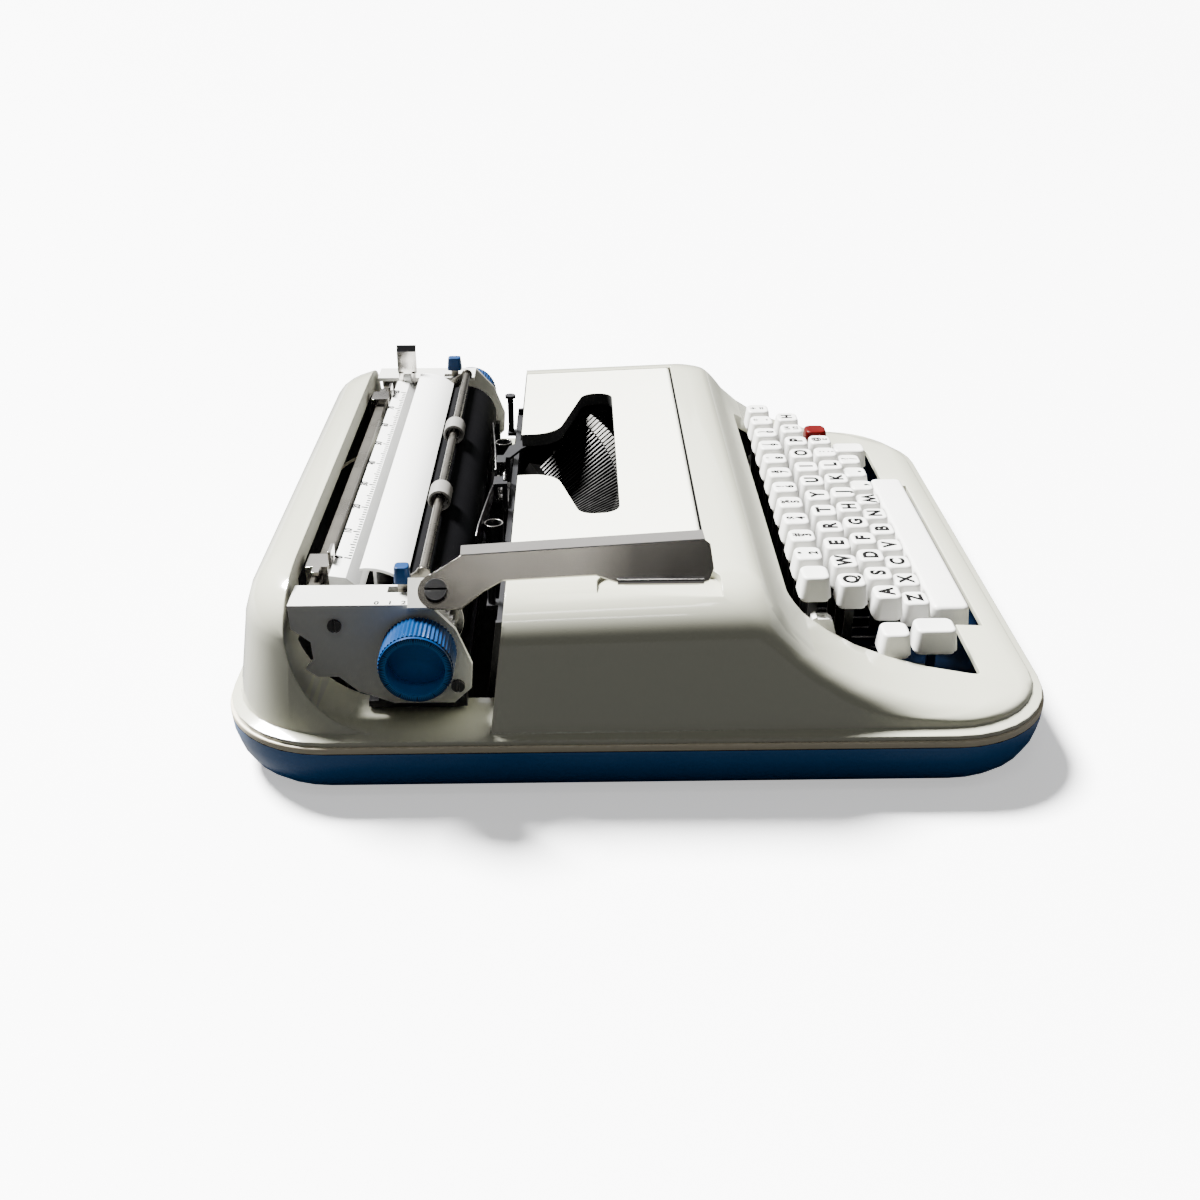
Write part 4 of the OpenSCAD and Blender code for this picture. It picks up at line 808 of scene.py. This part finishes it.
class TYPEWRITER_OT_signs(bpy.types.Operator):
    """Prints the letters, numbers and signs on the key tops"""
    bl_idname = "typewriter.signs"
    bl_label = "Key Signs"

    def execute(self, context):
        for row, signs in KEY_ROWS:
            self.row(row, signs)
        self.backspace()
        return {"FINISHED"}

    def row(self, row, signs):
        """Signs of one row, joined."""
        step = sizes().key_pitch
        lo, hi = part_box(row + "_caps")
        first = (lo.x + hi.x - step * (len(signs) - 1)) / 2
        marks = []
        for i, text in enumerate(signs):
            place = Vector((first + i * step, (lo.y + hi.y) / 2, hi.z))
            marks += self.on_key(text, place, f"{row}_sign_{i}")
        settle(dress(join(marks, row + "_signs"), "Sign Black Ink"), row)

    def on_key(self, text, place, name):
        """One large sign, or two small ones behind each other."""
        s = sizes()
        apart = 4.5 * MM
        fraction_share = 0.72
        if text == "M":
            # Thickened strokes fill an M, so a W is turned round for it
            return [key_sign("W", s.letter, place, name, turn=math.pi)]
        if isinstance(text, str):
            return [key_sign(text, s.letter, place, name)]
        marks = []
        for k, part in enumerate(text):
            size = s.pair_letter * (fraction_share if len(part) > 1 else 1.0)
            at = place + Vector((0.0, (0.5 - k) * apart, 0.0))
            marks.append(key_sign(part, size, at, f"{name}_{k}",
                                  bold=LETTER_BOLD if part.isalnum() else SIGN_BOLD))
        return marks

    def backspace(self):
        """A plain letter on the backspace key."""
        top = max(spot.z for spot in spots("backspace_key"))
        on_top = [spot for spot in spots("backspace_key") if spot.z > top - 0.001 * MM]
        middle = sum(on_top, Vector()) / len(on_top)
        middle.z = top
        mark = key_sign("H", sizes().letter * 0.85, middle, "backspace_sign")
        settle(dress(mark, "Sign Black Ink"), "backspace")


class TYPEWRITER_OT_carriage(bpy.types.Operator):
    """Rounds and dresses the carriage, its knobs, levers and rails"""
    bl_idname = "typewriter.carriage"
    bl_label = "Carriage"

    def execute(self, context):
        for node in ("left_end_plate", "right_end_plate"):
            rounded_node(node, "grey_paint", 0.35)
        for node in ("left_knob", "right_knob"):
            self.knob(node)
        for node in ("line_space_tip", "paper_release_tip"):
            rounded_node(node, "blue_plastic", 0.5, 3)
        for node in ("left_margin_stop", "right_margin_stop"):
            rounded_node(node, "polished", 0.3)
        for node in ("line_space_lever", "paper_release_lever", "margin_rail", "paper_bail"):
            rounded_node(node, "bright_steel", 0.25, finish="Bail Warm Steel")
        rounded_node("platen_shaft", "bright_steel", 0.25)
        rounded_node("carriage_screws", "bright_steel", 0.25, finish="Blackened Screw")
        self.clip()
        rounded_node("paper_table", "white_paint", 0.25)
        rounded_node("platen", "platen_rubber", 0.6)
        rounded_node("bail_rollers", "roller_grey", 0.45)
        rounded_node("carriage_bed", "black_steel", 0.3)
        return {"FINISHED"}

    def knob(self, node):
        """Ribbed knob whose hollow end is a lighter blue, painted light in its shade."""
        piece = rounded_node(node, "blue_plastic", 0.25, angle=40.0, flatten=False)
        lo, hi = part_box(node)
        axis = (lo + hi) / 2
        wall = 2.2 * MM
        inside = (hi.y - lo.y) / 2 - wall
        # Lighter blue inside the hollow: painted light
        accent(piece, "Knob Cup Light Blue",
               lambda f: math.hypot(f.center.y - axis.y, f.center.z - axis.z) < inside)

    def clip(self):
        """Plated paper clip with a black grip at its tip."""
        piece = rounded_node("paper_clip", "polished", 0.3)
        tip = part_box("paper_clip")[1].z - 3.3 * MM
        accent(piece, "Works Black Enamel", lambda f: f.center.z > tip)


class TYPEWRITER_OT_return_lever(bpy.types.Operator):
    """Rounds the bent return lever, plates it and paints highlights on its upward faces and bead"""
    bl_idname = "typewriter.return_lever"
    bl_label = "Return Lever"

    def execute(self, context):
        piece = rounded_node("return_lever", "polished", 0.35, 3, finish="Lever Plating Grip Shade")
        # Soft light leaves no shadow of the lever on the shoulder below it
        piece.visible_shadow = False
        swing = next(j for j in frame["joints"] if j["name"] == "return_lever_swing")
        out = Vector(swing["axis"])
        pivot = Vector(swing["pos_m"])
        face_level = 1.75 * MM
        # Upward faces, and faces standing out from the plate along the swing axis, take the brighter plating:
        # painted highlight
        accent(piece, "Polished Plating",
               lambda f: f.normal.z > 0.85 or (f.center - pivot).dot(out) > face_level)
        return {"FINISHED"}


class TYPEWRITER_OT_scale(bpy.types.Operator):
    """Paints the scale bar and marks it with ticks and numbers"""
    bl_idname = "typewriter.scale"
    bl_label = "Paper Scale"

    def execute(self, context):
        front, rear = self.bar()
        self.marks(front, math.atan2(rear.z - front.z, rear.y - front.y))
        self.line_space_numbers()
        return {"FINISHED"}

    def bar(self):
        """White bar with its front face painted grey as shade. Gives the front and rear corners of its top at the
        left.
        """
        bar = merged_copy("scale_bar", "scale_bar_dressed")
        bevel_all(bar, 0.3 * MM)
        smooth(bar)
        dress(bar, "Scale White Enamel")
        left = -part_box("platen")[1].x
        top_from = 77.0 * MM
        top = [spot for spot in spots("scale_bar")
               if abs(spot.x - left) < NEAR and spot.z > top_from]
        front = min(top, key=lambda c: c.y)
        rear = max(top, key=lambda c: c.y)
        # The front face is painted grey: painted shade
        accent(bar, "Scale Front Shade",
               lambda f: f.normal.y < -0.35 and f.center.y < front.y + 0.2 * MM)
        settle(bar, "carriage", ("scale_bar",))
        return front, rear

    def marks(self, front, tilt):
        """Ticks of three lengths along the bar's sloping top, and a number at every tenth."""
        s = sizes()
        reach = Vector((0.0, math.cos(tilt), math.sin(tilt)))
        lift = Vector((0.0, -math.sin(tilt), math.cos(tilt))) * HAIR
        tens = 8
        first = -tens * 5 * s.tick_step
        marks = []
        for name, every, long in (("tick_short", 1, 1.5), ("tick_mid", 5, 2.3),
                                  ("tick_long", 10, 2.9)):
            middle = front + reach * (0.25 + long / 2) * MM + lift
            tick = cube(name, (first, middle.y, middle.z), (s.tick_w, long * MM, SIGN_THICK), tilt)
            marks.append(repeat(tick, s.tick_step * every, tens * 10 // every + 1))
        digits_at = front + reach * 5.2 * MM + lift
        for i in range(tens + 1):
            place = (first + i * 10 * s.tick_step, digits_at.y, digits_at.z)
            marks.append(sign(str(i * 10), s.digit, place, f"number_{i}", tilt=tilt,
                              bold=DIGIT_BOLD))
        settle(dress(join(marks, "scale_marks"), "Sign Black Ink"), "carriage")

    def line_space_numbers(self):
        """Small numbers beside the line-space lever's slot."""
        size = 3.8 * MM
        step = 5.2 * MM
        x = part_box("left_end_plate")[0].x + 4.2 * MM
        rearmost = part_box("line_space_tip")[0].y + 12.2 * MM
        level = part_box("right_end_plate")[1].z + HAIR
        marks = [sign(str(i), size, (x, rearmost - step * i, level), f"line_space_{i}",
                      turn=-math.pi / 2) for i in range(4)]
        settle(dress(join(marks, "line_space_marks"), "Sign Black Ink"), "carriage")


# Works

# Card blade in millimetres: distance out from the printing point, Y, and its lower and upper edges
BLADE_COLUMNS = [(8.0, 64.2, 63.6, 68.4), (26.0, 65.2, 63.2, 71.0), (44.0, 66.6, 63.4, 71.6),
                 (62.0, 68.2, 64.2, 71.2), (70.0, 68.8, 65.6, 69.6)]


def coil(name, x_from, x_to, y, z, radius, turns, wire):
    """A helical spring along X, as a mesh, with its sizes in millimetres."""
    curve = put(bpy.data.curves.new(name, "CURVE"), dimensions="3D", bevel_depth=wire * MM,
                bevel_resolution=2, use_fill_caps=True)
    line = curve.splines.new("POLY")
    per_turn = 10
    steps = turns * per_turn
    line.points.add(steps)
    for i, point in enumerate(line.points):
        a = 2 * math.pi * i / per_turn
        x = x_from + (x_to - x_from) * i / steps
        point.co = (x * MM, (y + radius * math.cos(a)) * MM, (z + radius * math.sin(a)) * MM, 1.0)
    only(in_scene(name, curve))
    bpy.ops.object.convert(target="MESH")
    piece = new_piece(name)
    smooth(piece, 50.0)
    return piece


class TYPEWRITER_OT_works(bpy.types.Operator):
    """Dresses the frame, typebars and guides and adds blades, cups and springs"""
    bl_idname = "typewriter.works"
    bl_label = "Inner Works"

    def execute(self, context):
        self.typebars()
        self.guides()
        for node in ("main_frame", "ribbon_vibrator", "key_comb"):
            rounded_node(node, "black_steel", 0.25)
        for node in ("ribbon_selector", "touch_lever"):
            rounded_node(node, "key_white", 0.5, 3)
        rounded_node("type_guide", "bright_steel", 0.2)
        return {"FINISHED"}

    def typebars(self):
        """Dark bars with a painted highlight on their upward faces, and plain steel slugs."""
        piece = merged_copy("typebars", "typebars_dressed")
        bevel_all(piece, 0.12 * MM, 1)
        smooth(piece)
        dress(piece, "Typebar Black Steel", "Type Slug Steel", "Typebar Top Highlight")
        slug_share = 0.19
        edit_all(piece)
        mesh = bmesh.from_edit_mesh(piece.data)
        left = set(mesh.faces)
        while left:
            bar = [left.pop()]
            for face in bar:
                for edge in face.edges:
                    for other in edge.link_faces:
                        if other in left:
                            left.remove(other)
                            bar.append(other)
            levels = [v.co.z for face in bar for v in face.verts]
            slug_from = max(levels) - slug_share * (max(levels) - min(levels))
            for face in bar:
                if face.calc_center_median().z > slug_from:
                    face.material_index = 1
                # Upward faces take the lighter steel: painted highlight
                elif face.normal.z > 0.5:
                    face.material_index = 2
        bmesh.update_edit_mesh(piece.data)
        done()
        settle(piece, "base", ("typebars",))

    def guides(self):
        """Card blades, cups and springs between the platen and the cover."""
        lo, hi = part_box("type_guide")
        middle = (lo.x + hi.x) / 2 / MM
        cup_out = 50.0
        spring_from, spring_to = 34.0, 66.0
        for name, side in (("left", -1), ("right", 1)):
            blade = self.blade(name + "_card_blade", middle, side)
            settle(dress(blade, "Oiled Dark Steel"), "base")
            cup = self.cup(name + "_ribbon_cup", middle + side * cup_out)
            settle(cup, "base")
            spring = coil(name + "_spring", middle + side * spring_from, middle + side * spring_to,
                          y=61.5, z=50.0, radius=2.2, turns=16, wire=0.35)
            settle(dress(spring, "Bright Steel"), "base")

    def blade(self, name, middle, side):
        """Thin bent blade that keeps a card against the platen."""
        only()
        bpy.ops.mesh.primitive_plane_add(size=1.0, location=(0.0, 0.0, 0.0))
        piece = new_piece(name)
        edit(piece, "EDGE", lambda e: all(v.co.x > 0.4 for v in e.verts))
        for _ in BLADE_COLUMNS[2:]:
            extrude(1.0, 0.0, 0.0)
        done()
        places = sorted({round(v.co.x, 3) for v in piece.data.vertices})
        for v in piece.data.vertices:
            out, y, low, high = BLADE_COLUMNS[places.index(round(v.co.x, 3))]
            v.co = Vector((middle + side * out, y, high if v.co.y > 0 else low)) * MM
        modify(piece, "Thickness", "SOLIDIFY", thickness=0.6 * MM, offset=0.0)
        bevel_all(piece, 0.15 * MM)
        smooth(piece, 40.0)
        return piece

    def cup(self, name, x):
        """Black guide cup on a post, with a bright upper rim."""
        middle = 62.4 * MM
        rim_from = 66.2 * MM
        only()
        bpy.ops.mesh.primitive_cylinder_add(vertices=40, radius=4.4 * MM, depth=8.4 * MM,
                                            location=(x * MM, middle, middle))
        piece = new_piece(name)
        bpy.ops.object.transform_apply(location=True, rotation=False, scale=True)
        for end, inset, reach in ((max, 0.7, -2.6), (min, 2.2, -14.0)):
            index = end(piece.data.polygons, key=lambda f: f.center.z).index
            edit(piece, "FACE", lambda f: f.index == index)
            bpy.ops.mesh.inset(thickness=inset * MM)
            extrude(0.0, 0.0, reach * MM)
            done()
        bevel_all(piece, 0.2 * MM)
        smooth(piece)
        dress(piece, "Works Black Enamel")
        accent(piece, "Polished Plating", lambda f: f.center.z > rim_from)
        return piece


class TYPEWRITER_OT_stage(bpy.types.Operator):
    """Makes the floor, the light and the camera"""
    bl_idname = "typewriter.stage"
    bl_label = "Stage"

    def execute(self, context):
        stage = context.scene.typewriter_stage
        self.floor(stage)
        self.surround(stage)
        self.overhead(stage)
        self.panel("Upper Window", (-0.56, 0.06, 1.22), 0.34, 0.075, stage.strip)
        self.panel("Lower Window", (-0.86, 0.02, 1.06), 0.30, 0.035, stage.strip / 2)
        self.panel("Front Fill", (0.1, -1.3, 0.55), 1.2, 0.6, stage.fill)
        self.panel("Right Panel", (1.5, -0.05, 0.85), 1.3, 0.5, stage.fill * 1.5)
        self.camera(stage)
        return {"FINISHED"}

    def floor(self, stage):
        """Pale floor that sends little light back up."""
        only()
        bpy.ops.mesh.primitive_plane_add(size=12.0, location=(0.0, 0.0, 0.0))
        floor = new_piece("floor")
        material = bpy.data.materials.new("Pale Floor")
        material.use_nodes = True
        tree = material.node_tree
        seen = add(tree, "ShaderNodeLightPath").outputs["Is Camera Ray"]
        tone = mixed(tree, seen, (0.008, 0.008, 0.008, 1.0), (*stage.floor, 1.0))
        glow = mixed(tree, seen, (0.0, 0.0, 0.0, 1.0), (*WHITE, 1.0))
        feed(tree, tree.nodes["Principled BSDF"], {
            "Base Color": tone, "Roughness": 0.7, "Emission Color": glow, "Emission Strength": 0.6})
        floor.data.materials.append(material)

    def surround(self, stage):
        """Even white all round, as bright as the floor to see but a dim light."""
        world = bpy.data.worlds.new("Studio")
        bpy.context.scene.world = world
        world.use_nodes = True
        tree = world.node_tree
        seen = add(tree, "ShaderNodeLightPath").outputs["Is Camera Ray"]
        as_floor = stage.overhead * 0.25
        strength = remap(tree, seen, 0.0, 1.0, stage.sky, as_floor)
        feed(tree, tree.nodes["Background"], {"Color": (*WHITE, 1.0), "Strength": strength})

    def overhead(self, stage):
        """Soft light from above, behind and the right."""
        data = put(bpy.data.lights.new("Overhead Light", "SUN"), energy=stage.overhead,
                   angle=math.radians(18.0))
        lamp = in_scene("Overhead Light", data)
        lamp.rotation_euler = (math.radians(-26.0), math.radians(30.0), 0.0)

    def panel(self, name, place, wide, deep, power):
        """Flat light that faces the middle of the machine."""
        data = put(bpy.data.lights.new(name, "AREA"), shape="RECTANGLE", size=wide, size_y=deep,
                   energy=power)
        lamp = in_scene(name, data)
        lamp.location = place
        middle = Vector((0.0, 0.0, 0.06))
        lamp.rotation_euler = (middle - Vector(place)).to_track_quat("-Z", "Y").to_euler()

    def camera(self, stage):
        """Camera at the left of the machine, a little above it."""
        data = put(bpy.data.cameras.new("Camera"), lens=stage.lens, sensor_width=36.0,
                   clip_start=0.01)
        eye = in_scene("Camera", data)
        back = CAMERA_RIGHT.cross(CAMERA_UP)
        turn = Matrix((CAMERA_RIGHT, CAMERA_UP, back)).transposed().to_4x4()
        eye.matrix_world = Matrix.Translation(CAMERA_AT) @ turn
        bpy.context.scene.camera = eye


class TYPEWRITER_PT_panel(bpy.types.Panel):
    """Sizes, colours and steps of the typewriter"""
    bl_idname = "TYPEWRITER_PT_panel"
    bl_label = "Typewriter"
    bl_space_type = "VIEW_3D"
    bl_region_type = "UI"
    bl_category = "Typewriter"

    def draw(self, context):
        for group in (context.scene.typewriter_paints, context.scene.typewriter_sizes,
                      context.scene.typewriter_stage):
            column = self.layout.column(align=True)
            for key in group.bl_rna.properties.keys():
                if key not in ("rna_type", "name"):
                    column.prop(group, key)
        for step in STEPS:
            self.layout.operator(step.bl_idname)


GROUPS = [("typewriter_paints", TypewriterPaints), ("typewriter_sizes", TypewriterSizes),
          ("typewriter_stage", TypewriterStage)]
STEPS = [TYPEWRITER_OT_finishes, TYPEWRITER_OT_body, TYPEWRITER_OT_keys, TYPEWRITER_OT_signs,
         TYPEWRITER_OT_carriage, TYPEWRITER_OT_return_lever, TYPEWRITER_OT_scale,
         TYPEWRITER_OT_works, TYPEWRITER_OT_stage]


def register():
    for key, group in GROUPS:
        bpy.utils.register_class(group)
        setattr(bpy.types.Scene, key, bpy.props.PointerProperty(type=group))
    for step in STEPS:
        bpy.utils.register_class(step)
    bpy.utils.register_class(TYPEWRITER_PT_panel)


def unregister():
    bpy.utils.unregister_class(TYPEWRITER_PT_panel)
    for step in reversed(STEPS):
        bpy.utils.unregister_class(step)
    for key, group in reversed(GROUPS):
        delattr(bpy.types.Scene, key)
        bpy.utils.unregister_class(group)


def main():
    register()
    bpy.ops.typewriter.finishes()
    bpy.ops.typewriter.body()
    bpy.ops.typewriter.keys()
    bpy.ops.typewriter.signs()
    bpy.ops.typewriter.carriage()
    bpy.ops.typewriter.return_lever()
    bpy.ops.typewriter.scale()
    bpy.ops.typewriter.works()
    bpy.ops.typewriter.stage()


if __name__ == "__main__":
    main()
